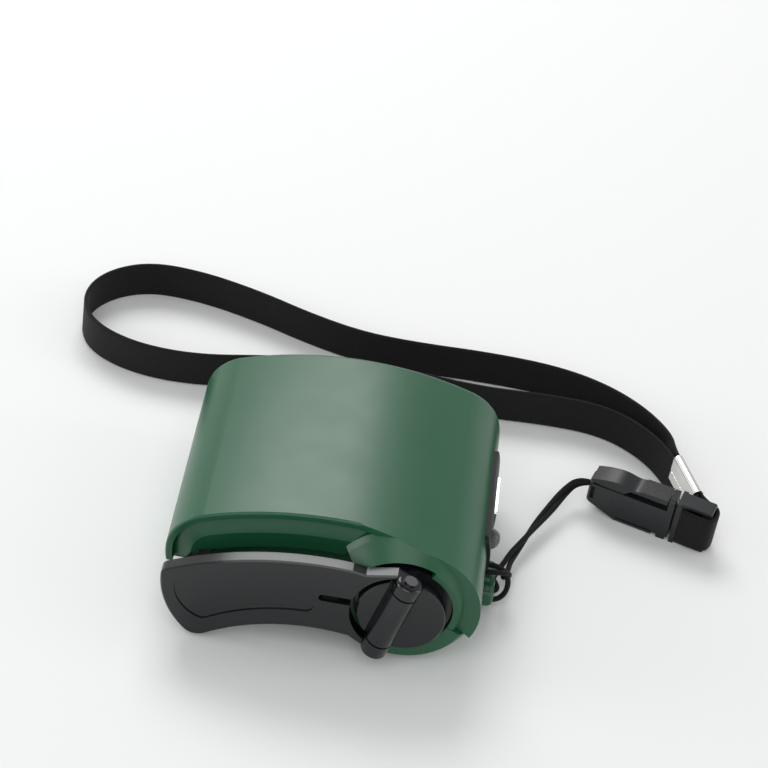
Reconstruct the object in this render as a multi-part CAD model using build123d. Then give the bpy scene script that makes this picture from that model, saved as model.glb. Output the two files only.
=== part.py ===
"""A hand crank phone charger: green two-part housing, folding crank, gear train, generator and wrist strap.

Millimetres. X runs to the right, Y from the crank side towards the back, Z up from the resting face.
The model is drawn about the middle of the housing and moved to the middle of its footprint at the end.
"""
import math
import os

from build123d import *

# ---------------------------------------------------------------- housing
BODY_DEPTH = 58.0          # front rim to back face
FOOT_R = 17.5              # big rounded ends, left and right
FOOT_FLAT = 0.15           # the ends are ground flat where they rest
FOOT_X = 18.5              # middle of each rounded end from the middle of the housing
CORNER_R = 12.0            # upper corners
CORNER_RISE_L = 4.0        # degrees, where each upper corner grows out of its rounded end
CORNER_RISE_R = 16.0
ROOF_R = 82.0              # domed top
UNDER_R = 40.0             # hollowed underside
WALL = 1.8
RIM_W = 1.6                # rim round the recessed front face
RIM_DEPTH = 1.6
FACE_T = 2.0               # front wall behind the recess
EDGE_R = 1.2               # rounding of the back edge
RIM_EDGE_R = 0.5
PART_BELOW_HUB = 0.23      # parting line under the hub's middle
PART_GAP = 0.16            # hairline between the two shells
GROOVE_W = 0.7             # shadow groove along the parting line
GROOVE_DEPTH = 0.5

NOTCH_X = -22.0            # finger notch in the front left corner
NOTCH_Z = 13.9
NOTCH_DEPTH = 9.0
NOTCH_R = 3.0

# ---------------------------------------------------------------- crank hub and its ring
RING_BORE_R = 11.4
RING_RIM_R = 12.8          # outer edge of the ring's front, upper half
RING_BEVEL_R = 16.6        # bevel from that edge back to here
RING_BEVEL_Y = 1.3         # how far the bevel's end stands in front of the housing rim
RING_LOW_R = 15.0          # outer edge of the ring's front, lower half
RING_LOW_BEVEL_R = 16.8
RING_LOW_BEVEL_Y = 3.4
HOOD_FROM_X = 6.6          # the rim sweeps forward from here to the right end
HOOD_REACH = 5.55
RING_RISE = 5.9            # height of the ring in front of the housing rim
RING_OPEN_FROM = 146.0     # degrees about the hub, the side where the ring is open
RING_OPEN_TO = 230.0
RING_EASE_R = 13.0         # wider bore beside the arm
RING_EASE_FROM = 62.0
RUN_GAP = 0.3              # running clearance of moulded parts
DISC_R = 10.0
DISC_RISE = 3.0            # disc face in front of the ring
HUB_SKIRT_DROP = 0.9       # black skirt set back behind the ring's edge

# ---------------------------------------------------------------- hinge barrel and arm
BARREL_X = 16.75
BARREL_Z = 18.5
BARREL_TILT = 14.0         # degrees from upright
BARREL_R = 3.1
BARREL_PROUD = 0.6         # barrel axis in front of the disc face
BARREL_TOP = 10.5          # knuckle ends, measured along the barrel
BARREL_BOTTOM = 12.8
KNUCKLE_UP = 6.8           # ends of the hub's middle knuckle, along the barrel
KNUCKLE_DOWN = 8.4
KNUCKLE_GAP = 0.45
KNUCKLE_EDGE = 0.9         # rounding of the barrel's outer ends
HINGE_GROOVE_W = 0.65      # shadow groove in the disc beside the barrel
HINGE_GROOVE_D = 0.9
PIN_R = 1.0
PIN_CLEAR = 0.05
PIN_HEAD_R = 1.5
PIN_HEAD_T = 0.45
RELIEF = 0.35              # clearance round the knuckles

ARM_T = 2.9
ARM_CLEAR = 0.4            # arm back to the ring's front
ARM_TOP_DROP = 5.8         # arm's upper edge below the domed top
ARM_LOWER_R = 45.0
ARM_LOWER_X = 0.5
ARM_LOWER_Z = 9.3
ARM_LEFT_X = -35.4
ARM_SIDE_MID = (-33.9, 9.5)
ARM_TIP_X = -26.7
ARM_TIP_R = 4.0
ARM_CORNER_R = 1.8
ARM_EDGE = 0.35            # chamfer round the arm's front
ARM_NOTCH_R = 11.5         # round gap between arm and disc
ARM_DIP = (9.6, 28.0)
SLOT_Z = 19.2
SLOT_FROM_X = 0.8
SLOT_W = 1.9
PANEL_DEPTH = 0.3          # shallow bare panel in the arm's front
PANEL_TOP_DROP = 3.4
PANEL_LOWER_RISE = 4.9
PANEL_RIGHT_X = -0.9
PANEL_LEFT_INSET = 3.2
PANEL_R = 2.0

# ---------------------------------------------------------------- knob on the back of the arm
KNOB_X = -25.0
KNOB_Z = 13.6
KNOB_R = 7.0
KNOB_H = 5.5
KNOB_GAP = 0.3
KNOB_EDGE = 0.8
KNOB_BOSS_R = 2.5
KNOB_WEB = 3.6
KNOB_SCREW_R = 1.0
KNOB_SCREW_HEAD_R = 3.4
KNOB_SCREW_HEAD_T = 0.9
KNOB_GRIPS = 16
KNOB_GRIP_R = 0.5
FIT = 0.05                 # turning fit of small pins and shafts, on the radius

# ---------------------------------------------------------------- gear train
MODULE = 0.5
CRANK_TEETH = 50
WHEEL_1_TEETH = 36
WHEEL_2_TEETH = 30
PINION_TEETH = 12
GEAR_FACE = 3.0
CRANK_GEAR_FACE = 3.5
LAYER_A_Y = 7.0            # front of the crank gear
LAYER_B_Y = 11.5
LAYER_C_Y = 15.5
SHAFT_R = 2.0
GEAR_PIN_R = 1.0
ROTOR_SHAFT_R = 1.0
BUSH_R = 3.5
BUSH_FLANGE_R = 5.0
BUSH_FLANGE_T = 0.7
PLATE_T = 1.5
REAR_PLATE_Y = 20.0
PLATE_CLEAR = 0.6
PLATE_RIM = 3.0
PLATE_BEYOND_SHAFT = 6.5
SPACER_R = 1.7
SPACER_HOLE_R = 0.8
SPACER_X = (-6.0, -7.0, 7.5, 7.5)
SPACER_RISE = (-9.75, 10.65, 11.65, -10.45)     # from the height of the hub
GEAR_SCREW_HEAD_R = 1.5
GEAR_SCREW_HEAD_T = 0.9

# ---------------------------------------------------------------- generator
CAN_R = 11.0
CAN_LENGTH = 19.5
CAN_WALL = 0.8
CAN_BOSS_R = 4.0
MAGNET_R = 5.5
MAGNET_LENGTH = 11.0
MAGNET_START = 4.0         # magnet behind the front of the can
AIR_GAP = 0.5
CORE_LENGTH = 10.0
POLES = 6
COIL_T = 0.9
CAP_T = 2.0

# ---------------------------------------------------------------- socket end
PANEL_Y = (13.0, 46.0)
PANEL_BELOW = 5.75         # panel edges from the height of the hub
PANEL_ABOVE = 6.65
PANEL_PROUD = 0.8
PANEL_CORNER_R = 2.0
PANEL_SEAT = 0.1
USB_Y = 33.5
USB_ABOVE = 0.25           # socket above the height of the hub
USB_W = 13.1               # standard socket, outside of the metal shell
USB_H = 5.7
USB_T = 0.3
USB_LENGTH = 14.0
USB_PROUD = 0.3
TONGUE_W = 11.1
TONGUE_T = 1.84
TONGUE_SET = 4.6           # tongue tip behind the mouth
CONTACT_PITCH = 2.3
CONTACT_W = 1.0
CONTACT_T = 0.2
LED_Y = 20.0
LED_ABOVE = 1.25
LED_R = 2.5
LED_FLANGE_R = 2.9
LED_TIP = 2.7              # dome tip in front of the housing's end
LED_LENGTH = 8.6
LED_PITCH = 2.54
LEAD_R = 0.3

# ---------------------------------------------------------------- circuit board
BOARD_T = 1.6
BOARD_X = (-5.0, 32.0)
BOARD_Y = (24.0, 49.5)
BOARD_HOLE_R = 1.1
BOARD_POSTS = ((-2.0, 27.5), (-2.0, 46.0), (18.5, 27.5), (18.5, 46.0))
POST_R = 2.4

# ---------------------------------------------------------------- housing screws
SCREWS = ((-28.0, 15.0), (26.0, 14.5), (-24.0, 51.5), (24.0, 53.9))
SCREW_BOSS_R = 3.2
SCREW_R = 1.2
SCREW_HEAD_R = 2.2
SCREW_HEAD_T = 1.6
SCREW_SEAT = 5.0           # screw head seat above the resting plane
SCREW_END = 24.0

# ---------------------------------------------------------------- strap lug
LUG_X = 39.4
LUG_Z = (4.4, 9.0)
LUG_Y = (12.0, 23.5)
LUG_WINDOW_Y = (15.2, 21.2)
LUG_BAR = 2.8              # bar left outside the window
LUG_WINDOW_W = 2.4
LUG_RIBS = 3
RIB_W = 0.5

# ---------------------------------------------------------------- wrist cord, buckle and strap
CORD_D = 1.3
HITCH_Y = (17.0, 19.4)
CORD_Z = (2.6, 4.4)
CORD_A = [(39.2, 22.9, 3.4), (40.6, 27.0, 2.9), (41.9, 31.6, 2.6), (44.4, 37.2, 2.6), (47.2, 43.9, 2.9),
          (50.6, 50.8, 3.4), (54.2, 57.4, 4.5), (57.5, 60.6, 5.6), (60.67, 60.36, 5.9)]
CORD_B = [(41.4, 22.4, 5.0), (42.6, 26.4, 4.5), (43.7, 31.0, 4.2), (45.9, 36.4, 4.2), (48.7, 42.9, 4.5),
          (52.1, 49.6, 5.1), (54.9, 55.6, 6.1), (57.4, 59.1, 7.0), (60.22, 58.93, 7.3)]
BUCKLE_X = 60.6            # cord end of the buckle
BUCKLE_Y = 59.6
BUCKLE_TURN = -17.0
BUCKLE_H = 12.4
BUCKLE_T = 5.6
SOCKET_LENGTH = 21.8
SOCKET_WALL = 1.2          # half width of the hollow
SOCKET_TOP = 8.9           # body under the lever
SOCKET_POST = 1.5
TAPER_LENGTH = 8.1
TAPER_DROP = 3.5
CORD_HOLE = (0.8, 1.9)     # gap behind the bail that carries the cord
CORD_HOLE_Z = (4.4, 8.0)
LEDGE_Z = 0.3              # underside between the taper and the feet
LEDGE_SLIT = (8.5, 17.6)
LEDGE_SLIT_Z = (1.0, 1.35)
LEDGE_SLIT_D = 0.6
FOOT_NOTCHES = ((17.8, 19.1), (21.3, 22.5))
FOOT_NOTCH_Z = 1.0
HOLLOW_Z = (1.9, 7.6)
TONGUE_EASE = 0.3
INSERT_REACH = 9.0         # tongue inside the socket
INSERT_LENGTH = 8.8        # flange and strap frame
INSERT_GAP = 0.6
FLANGE_T = 1.2
FRAME_BAR = 2.4
FRAME_SIDE = 1.0
FRAME_SET = 0.5            # frame slimmer than the flange, each side
PIVOT = (5.2, 9.7)
LATCH_PIN_R = 0.5
LEVER_UNDER = ((0.5, 9.6), (3.2, 9.3), (9.0, 9.2), (10.6, 10.6), (20.0, 10.6))
LEVER_LEAF = ((20.0, 12.0), (13.4, 11.8))
LEVER_WAVE = ((13.4, 11.8), (10.9, 11.3), (8.8, 11.7), (4.6, 11.5), (0.5, 10.3))
EAR_HALF = 0.9
EAR_GAP = 0.3
STRAP_W = 10.0
STRAP_T = 1.0
STRAP_Z = 0.2
TAB_Z = 1.2                # strap end inside the frame
LAYER_GAP = 0.12           # between the two strap ends in the crimp
WRAP_GAP = 0.3
WRAP_START = 24.4          # where the strap end comes through the frame
CRIMP_START = (25.6, 5.2)  # near end of the crimp, from the cord end of the buckle
CRIMP_TURN = 128.9         # degrees from the buckle
CRIMP_LENGTH = 13.2
CRIMP_T = 0.4
CRIMP_EASE = 0.08
CRIMP_TOP = 11.9
CRIMP_FOOT = 4.6
STRAP = [(79.6, 79.9), (71.8, 89.0), (61.0, 95.6), (48.0, 99.0), (31.0, 99.6),
         (13.6, 98.7), (-1.0, 99.2), (-15.2, 103.1), (-30.0, 109.0), (-46.0, 113.2), (-60.0, 113.4),
         (-70.2, 106.4), (-74.0, 96.0), (-70.0, 85.4), (-58.0, 79.2), (-42.0, 78.4), (-24.0, 83.0),
         (-6.0, 87.2), (12.0, 87.0), (30.0, 85.2), (48.0, 86.6), (62.0, 86.2), (72.4, 80.9)]

# ---------------------------------------------------------------- shared places
FOOT_Z = FOOT_R - FOOT_FLAT
HUB = (FOOT_X, FOOT_Z)
PANEL_Z = (FOOT_Z - PANEL_BELOW, FOOT_Z + PANEL_ABOVE)
USB_Z = FOOT_Z + USB_ABOVE
LED_Z = FOOT_Z + LED_ABOVE
ROOF_SPAN = ROOF_R - CORNER_R
FACE_BACK_Y = RIM_DEPTH + FACE_T
RING_FRONT_Y = -RING_RISE
DISC_FACE_Y = RING_FRONT_Y - DISC_RISE
BARREL_Y = DISC_FACE_Y - BARREL_PROUD
ARM_BACK_Y = RING_FRONT_Y - ARM_CLEAR
ARM_FRONT_Y = ARM_BACK_Y - ARM_T
SPACERS = tuple((x, FOOT_Z + rise) for x, rise in zip(SPACER_X, SPACER_RISE))
GEAR_1_X = HUB[0] - MODULE * (CRANK_TEETH + PINION_TEETH) / 2
GEAR_2_X = GEAR_1_X - MODULE * (WHEEL_1_TEETH + PINION_TEETH) / 2
ROTOR_X = GEAR_2_X - MODULE * (WHEEL_2_TEETH + PINION_TEETH) / 2
CAN_Y = REAR_PLATE_Y + PLATE_T
BOARD_TOP_Z = USB_Z - USB_H / 2
BACK_INNER_Y = BODY_DEPTH - WALL


def polar(centre, radius, degrees):
    """A point at a radius and an angle about a centre."""
    turn = math.radians(degrees)
    return (centre[0] + radius * math.cos(turn), centre[1] + radius * math.sin(turn))


CORNER_L = polar((-FOOT_X, FOOT_Z), FOOT_R - CORNER_R, 180 - CORNER_RISE_L)
CORNER_R_AT = polar(HUB, FOOT_R - CORNER_R, CORNER_RISE_R)


def roof_centre():
    """Centre of the domed top, which touches both upper corner rounds from outside."""
    dx = CORNER_R_AT[0] - CORNER_L[0]
    dz = CORNER_R_AT[1] - CORNER_L[1]
    span = math.hypot(dx, dz)
    drop = math.sqrt(ROOF_SPAN**2 - (span / 2) ** 2)
    mid = ((CORNER_R_AT[0] + CORNER_L[0]) / 2, (CORNER_R_AT[1] + CORNER_L[1]) / 2)
    return (mid[0] + dz / span * drop, mid[1] - dx / span * drop)


ROOF_AT = roof_centre()
UNDER_AT = (0.0, FOOT_Z - math.sqrt((FOOT_R + UNDER_R) ** 2 - FOOT_X**2))
PART_R = math.hypot(HUB[0] - ROOF_AT[0], HUB[1] - ROOF_AT[1]) - PART_BELOW_HUB


def heading(start, end):
    """Direction from one point to another, in degrees."""
    return math.degrees(math.atan2(end[1] - start[1], end[0] - start[0]))


def arc(centre, radius, start, end):
    """An arc about a centre between two angles, either way round."""
    return CenterArc(centre, radius, start, end - start)


def outline(inset=0.0):
    """The housing's cross section, drawn smaller by an inset: all arcs keep their centres."""
    left = (-FOOT_X, FOOT_Z)
    roof_r = heading(ROOF_AT, CORNER_R_AT)
    roof_l = heading(ROOF_AT, CORNER_L)
    under_r = heading(UNDER_AT, HUB)
    under_l = heading(UNDER_AT, left)
    side_r = heading(HUB, CORNER_R_AT)
    side_l = heading(left, CORNER_L)
    edges = [
        arc(ROOF_AT, ROOF_R - inset, roof_r, roof_l),
        arc(CORNER_L, CORNER_R - inset, roof_l, side_l),
        arc(left, FOOT_R - inset, side_l, 180 + under_l),
        arc(UNDER_AT, UNDER_R + inset, under_l, under_r),
        arc(HUB, FOOT_R - inset, under_r - 180, side_r),
        arc(CORNER_R_AT, CORNER_R - inset, side_r, roof_r),
    ]
    return make_face(edges)


def prism(sketch, y_front, y_back):
    """A sketch drawn in X and Z, carried from one depth to another."""
    back = Plane(origin=(0, y_back, 0), x_dir=(1, 0, 0), z_dir=(0, -1, 0))
    return extrude(back * sketch, amount=y_back - y_front)


def disc(at, radius, y_front, y_back):
    """A cylinder lying along Y."""
    return prism(Pos(at[0], at[1]) * Circle(radius), y_front, y_back)


def block(x_range, y_range, z_range):
    """A box between pairs of limits."""
    size = [abs(pair[1] - pair[0]) for pair in (x_range, y_range, z_range)]
    centre = [(pair[0] + pair[1]) / 2 for pair in (x_range, y_range, z_range)]
    return Pos(*centre) * Box(*size)


def along_x(sketch, x_from, x_to):
    """A sketch drawn in Y and Z, carried from one X to another."""
    start = Plane(origin=(x_from, 0, 0), x_dir=(0, 1, 0), z_dir=(1, 0, 0))
    return extrude(start * sketch, amount=x_to - x_from)


def upright(at, radius, z_from, z_to):
    """A vertical cylinder."""
    return Pos(at[0], at[1], z_from) * Cylinder(radius, z_to - z_from, align=(Align.CENTER, Align.CENTER, Align.MIN))


def spun(points, at):
    """A solid turned about an axis along Y, from (radius, y) points."""
    face = make_face(Polyline(*[(r, y, 0) for r, y in points], close=True))
    return Pos(at[0], 0, at[1]) * revolve(face, Axis.Y)


def sector(at, radius, start, end, y_front, y_back):
    """A pie-shaped solid about an axis along Y."""
    steps = 6
    rays = [polar(at, radius, start + (end - start) * i / steps) for i in range(steps + 1)]
    return prism(make_face(Polyline(at, *rays, close=True)), y_front, y_back)


# ---------------------------------------------------------------- housing shells
def notch(grow=0.0):
    """The finger notch in the front left corner, or the notch and its wall."""
    reach = 20.0
    x_range = (NOTCH_X - reach - FOOT_R, NOTCH_X + grow)
    z_range = (-reach, NOTCH_Z + grow)
    cut = block(x_range, (-reach, NOTCH_DEPTH + grow), z_range)
    corner = [e for e in cut.edges().filter_by(Axis.Y) if e.center().X > NOTCH_X - 1 and e.center().Z > NOTCH_Z - 1]
    return fillet(corner, NOTCH_R + grow)


def housing_blank():
    """The closed outer form with its rounded edges."""
    form = prism(outline(), 0, BODY_DEPTH)
    back = form.edges().filter_by(lambda e: abs(e.center().Y - BODY_DEPTH) < 0.01 and e.length > 1)
    form = fillet(back, EDGE_R)
    front = form.edges().filter_by(lambda e: abs(e.center().Y) < 0.01 and e.length > 1)
    return fillet(front, RIM_EDGE_R)


def ring_form(rim_r, bevel_r, bevel_y):
    """The ring round the hub as a turned form."""
    return spun(
        [
            (RING_BORE_R, RIM_DEPTH + 0.1),
            (RING_BORE_R, RING_FRONT_Y),
            (rim_r, RING_FRONT_Y),
            (bevel_r, -bevel_y),
            (FOOT_R, 0),
            (FOOT_R, RIM_DEPTH + 0.1),
        ],
        HUB,
    )


def hood():
    """The rim above the hub, which sweeps forward to the right end."""
    end_x = FOOT_X + FOOT_R + 1
    plan = [(HOOD_FROM_X, RIM_DEPTH + 0.1), (HOOD_FROM_X, 0), (end_x, -HOOD_REACH), (end_x, RIM_DEPTH + 0.1)]
    body = extrude(make_face(Polyline(*plan, close=True)), amount=3 * FOOT_R)
    body &= prism(outline(), -2 * RING_RISE, BODY_DEPTH)
    inside = prism(outline(RIM_W), -3 * RING_RISE, BODY_DEPTH) - disc(HUB, RING_BEVEL_R, -4 * RING_RISE, BODY_DEPTH)
    return body - inside - disc(HUB, RING_BORE_R, -3 * RING_RISE, BODY_DEPTH)


def ring():
    """The bevelled ring round the hub, open on the side of the folded arm."""
    split_r = PART_R
    upper = ring_form(RING_RIM_R, RING_BEVEL_R, RING_BEVEL_Y) + hood()
    upper -= disc(ROOF_AT, split_r, -4 * RING_RISE, BODY_DEPTH)
    lower = ring_form(RING_LOW_R, RING_LOW_BEVEL_R, RING_LOW_BEVEL_Y)
    body = upper + (lower & disc(ROOF_AT, split_r, -4 * RING_RISE, BODY_DEPTH))
    body -= sector(HUB, 3 * FOOT_R, RING_OPEN_FROM, RING_OPEN_TO, -2 * RING_RISE, RIM_DEPTH)
    eased = sector(HUB, 3 * FOOT_R, RING_EASE_FROM, RING_OPEN_FROM, -2 * RING_RISE, 0)
    body -= eased & disc(HUB, RING_EASE_R, -2 * RING_RISE, 0)
    return body & prism(outline(), -2 * RING_RISE, BODY_DEPTH)


def shell_stock():
    """Walls of the whole housing before it is parted."""
    form = housing_blank()
    form -= prism(outline(RIM_W), -1, RIM_DEPTH)
    form += ring()
    form -= notch()
    form -= block((-3 * FOOT_X, 3 * FOOT_X), (-1, BODY_DEPTH + 1), (-1, 0))
    hollow = prism(outline(WALL), FACE_BACK_Y, BACK_INNER_Y) - notch(WALL)
    form -= hollow
    form -= disc(HUB, BUSH_R + 0.02, 0, FACE_BACK_Y + 1)
    form -= disc(HUB, BUSH_FLANGE_R + 0.1, 0, RIM_DEPTH)
    band = disc(ROOF_AT, PART_R + GROOVE_W / 2, -20, BODY_DEPTH + 1)
    band -= disc(ROOF_AT, PART_R - GROOVE_W / 2, -20, BODY_DEPTH + 1)
    skin = prism(outline(-2), 2 * EDGE_R, BODY_DEPTH + 1) - prism(outline(GROOVE_DEPTH), 0, BODY_DEPTH + 1)
    form -= band & skin
    window = panel_block(PANEL_SEAT)
    return form - window


def screw_column(at, radius, z_from, z_to):
    """A screw boss, kept inside the housing."""
    return upright(at, radius, z_from, z_to) & prism(outline(WALL / 2), FACE_BACK_Y, BODY_DEPTH - WALL / 2)


def upper_shell():
    """Green top: domed roof, upper half of the ends, and blind bosses for the screws."""
    above = disc(ROOF_AT, 3 * ROOF_R, -20, BODY_DEPTH + 2) - disc(ROOF_AT, PART_R + PART_GAP / 2, -21, BODY_DEPTH + 3)
    body = shell_stock()
    for at in SCREWS:
        body += screw_column(at, SCREW_BOSS_R, 0, 3 * FOOT_R)
    body &= above
    for at in SCREWS:
        body -= upright(at, SCREW_R - 0.1, 0, SCREW_END + 1)
    return largest(body)


def lug():
    """Strap lug low on the right, with an open window behind its bar and a ribbed front."""
    form = block((FOOT_X, LUG_X), LUG_Y, LUG_Z)
    outer = [e for e in form.edges().filter_by(Axis.Y) if e.center().X > LUG_X - 1]
    form = fillet(outer, 1.4)
    ends = [e for e in form.edges().filter_by(Axis.Z) if e.center().X > LUG_X - 1]
    form = fillet(ends, 0.9)
    window_x = (LUG_X - LUG_BAR - LUG_WINDOW_W, LUG_X - LUG_BAR)
    form -= block(window_x, LUG_WINDOW_Y, (-1, 2 * FOOT_R))
    for i in range(LUG_RIBS):
        y = LUG_Y[0] + 0.9 + 2 * RIB_W * i
        form -= block((LUG_X - 0.35, LUG_X + 1), (y, y + RIB_W), (0, 2 * FOOT_R))
    return form - prism(outline(WALL / 2), 0, BODY_DEPTH)


def lower_shell():
    """Green base: lower half of the ends, strap lug, screw bosses and board posts."""
    below = disc(ROOF_AT, PART_R - PART_GAP / 2, -20, BODY_DEPTH + 2)
    body = shell_stock()
    for at in SCREWS:
        body += screw_column(at, SCREW_BOSS_R, 0, 3 * FOOT_R)
    for at in BOARD_POSTS:
        body += screw_column(at, POST_R, 0, BOARD_TOP_Z - BOARD_T)
    body &= below
    body += lug()
    for at in SCREWS:
        body -= upright(at, SCREW_R + 0.1, 0, 3 * FOOT_R)
        body -= upright(at, SCREW_HEAD_R + 0.2, -1, SCREW_SEAT)
    for at in BOARD_POSTS:
        body -= upright(at, BOARD_HOLE_R - 0.3, BOARD_TOP_Z - 5, BOARD_TOP_Z + 1)
    return largest(body)


def largest(shape):
    """The main solid of a shape, without loose chips."""
    return max(shape.solids(), key=lambda s: s.volume)


# ---------------------------------------------------------------- socket end
def panel_block(grow=0.0):
    """The opening for the black end panel, through the right wall."""
    sketch = Pos(sum(PANEL_Y) / 2, sum(PANEL_Z) / 2) * RectangleRounded(
        PANEL_Y[1] - PANEL_Y[0] + 2 * grow, PANEL_Z[1] - PANEL_Z[0] + 2 * grow, PANEL_CORNER_R + grow
    )
    return along_x(sketch, FOOT_X + FOOT_R / 2, FOOT_X + 2 * FOOT_R)


def end_panel():
    """Black panel that holds the socket and the lamp, a little proud of the housing."""
    skin = prism(outline(-PANEL_PROUD), 0, BODY_DEPTH) - prism(outline(WALL), -1, BODY_DEPTH + 1)
    body = panel_block() & skin
    mouth = Pos(USB_Y, USB_Z) * Rectangle(USB_W + 0.2, USB_H + 0.2)
    body -= along_x(mouth, FOOT_X, FOOT_X + 2 * FOOT_R)
    body -= along_x(Pos(LED_Y, LED_Z) * Circle(LED_R + 0.1), FOOT_X, FOOT_X + 2 * FOOT_R)
    return body


def usb_mouth_x():
    return FOOT_X + FOOT_R + PANEL_PROUD + USB_PROUD


def usb_shell():
    """Folded metal shell of the socket, open at the mouth."""
    outer = Pos(USB_Y, USB_Z) * RectangleRounded(USB_W, USB_H, 0.5)
    inner = Pos(USB_Y, USB_Z) * Rectangle(USB_W - 2 * USB_T, USB_H - 2 * USB_T)
    mouth = usb_mouth_x()
    tube = along_x(outer, mouth - USB_LENGTH, mouth)
    return tube - along_x(inner, mouth - USB_LENGTH + USB_T, mouth + 1)


def usb_tongue():
    """Insulating tongue with its block at the back of the socket."""
    mouth = usb_mouth_x()
    back = mouth - USB_LENGTH + USB_T
    tongue_z = USB_Z + USB_H / 2 - USB_T - TONGUE_T / 2 - 0.3
    tongue = along_x(Pos(USB_Y, tongue_z) * Rectangle(TONGUE_W, TONGUE_T), back, mouth - TONGUE_SET)
    root = along_x(Pos(USB_Y, USB_Z) * Rectangle(USB_W - 2 * USB_T, USB_H - 2 * USB_T), back, back + 1.6)
    return tongue + root


def usb_contacts():
    """Four gold contacts on the underside of the tongue."""
    mouth = usb_mouth_x()
    top = USB_Z + USB_H / 2 - USB_T - TONGUE_T - 0.3
    strips = []
    for i in range(4):
        y = USB_Y + (i - 1.5) * CONTACT_PITCH
        strips.append(
            block(
                (mouth - USB_LENGTH + USB_T + 1.6, mouth - TONGUE_SET - 0.8),
                (y - CONTACT_W / 2, y + CONTACT_W / 2),
                (top - CONTACT_T, top),
            )
        )
    return Compound(strips)


def led_lens():
    """Clear five millimetre lamp with its dome and flange."""
    tip = FOOT_X + FOOT_R + LED_TIP
    barrel = along_x(Pos(LED_Y, LED_Z) * Circle(LED_R), tip - LED_LENGTH, tip - LED_R)
    dome = Pos(tip - LED_R, LED_Y, LED_Z) * Sphere(LED_R)
    flange = along_x(Pos(LED_Y, LED_Z) * Circle(LED_FLANGE_R), tip - LED_LENGTH, tip - LED_LENGTH + 1)
    return barrel + dome + flange


def led_leads():
    """Two wires from the lamp, bent down to the board."""
    start = FOOT_X + FOOT_R + LED_TIP - LED_LENGTH
    end_z = BOARD_TOP_Z
    turn_y = BOARD_Y[0] + 1.4
    leads = []
    for side in (-1, 1):
        x = start - 2.4 - side * 0.9
        y = LED_Y + side * LED_PITCH / 2
        path = FilletPolyline(
            (start, y, LED_Z), (x, y, LED_Z), (x, turn_y + side * 0.4, LED_Z - 1.0), (x, turn_y + side * 0.4, end_z),
            radius=0.6,
        )
        leads.append(sweep(Plane(origin=path @ 0, z_dir=path % 0) * Circle(LEAD_R), path))
    return Compound([lead.solid() for lead in leads])


# ---------------------------------------------------------------- hinge
BARREL_PLANE = Plane(
    origin=(BARREL_X, BARREL_Y, BARREL_Z),
    x_dir=(0, -1, 0),
    z_dir=(math.sin(math.radians(BARREL_TILT)), 0, math.cos(math.radians(BARREL_TILT))),
)


def barrel(radius, start, end):
    """A cylinder along the slanted hinge axis."""
    stem = Pos(0, 0, start) * Cylinder(radius, end - start, align=(Align.CENTER, Align.CENTER, Align.MIN))
    return BARREL_PLANE * stem


def hinge_pin():
    """Steel pin with a low head at its upper end."""
    shank = barrel(PIN_R, -BARREL_BOTTOM, BARREL_TOP)
    head = BARREL_PLANE * (
        Pos(0, 0, BARREL_TOP) * Cylinder(PIN_HEAD_R, PIN_HEAD_T, align=(Align.CENTER, Align.CENTER, Align.MIN))
    )
    return shank + head


def crank_hub():
    """Black hub: skirt inside the ring, round disc and the middle knuckle of the hinge."""
    skirt_r = RING_BORE_R - RUN_GAP
    skirt_y = RING_FRONT_Y + HUB_SKIRT_DROP
    back_y = RIM_DEPTH - BUSH_FLANGE_T - RUN_GAP
    edge = 0.3
    body = spun(
        [
            (SHAFT_R + 0.02, back_y),
            (SHAFT_R + 0.02, skirt_y),
            (0, skirt_y),
            (0, DISC_FACE_Y),
            (DISC_R - edge, DISC_FACE_Y),
            (DISC_R, DISC_FACE_Y + edge),
            (DISC_R, skirt_y),
            (skirt_r, skirt_y),
            (skirt_r, back_y),
        ],
        HUB,
    )
    clear = BARREL_R + RELIEF
    body -= barrel(clear, KNUCKLE_UP, BARREL_TOP + 3)
    body -= barrel(clear, -BARREL_BOTTOM - 3, -KNUCKLE_DOWN)
    across = (-BARREL_R - HINGE_GROOVE_W, -BARREL_R + 0.1)
    body -= BARREL_PLANE * block((-BARREL_PROUD - HINGE_GROOVE_D, 1), across, (-2 * DISC_R, 2 * DISC_R))
    body += barrel(BARREL_R, -KNUCKLE_DOWN, KNUCKLE_UP)
    return body - barrel(PIN_R + PIN_CLEAR, -BARREL_BOTTOM - 5, BARREL_TOP + 5)


def arm_top_point(x, drop):
    """A point on the arc that runs below the domed top."""
    radius = ROOF_R - drop
    return (x, ROOF_AT[1] + math.sqrt(radius**2 - (x - ROOF_AT[0]) ** 2))


def arm_low_point(x, rise=0.0):
    """A point on the arc of the arm's hollowed lower edge."""
    radius = ARM_LOWER_R + rise
    return (x, ARM_LOWER_Z - ARM_LOWER_R + math.sqrt(radius**2 - (x - ARM_LOWER_X) ** 2))


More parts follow.
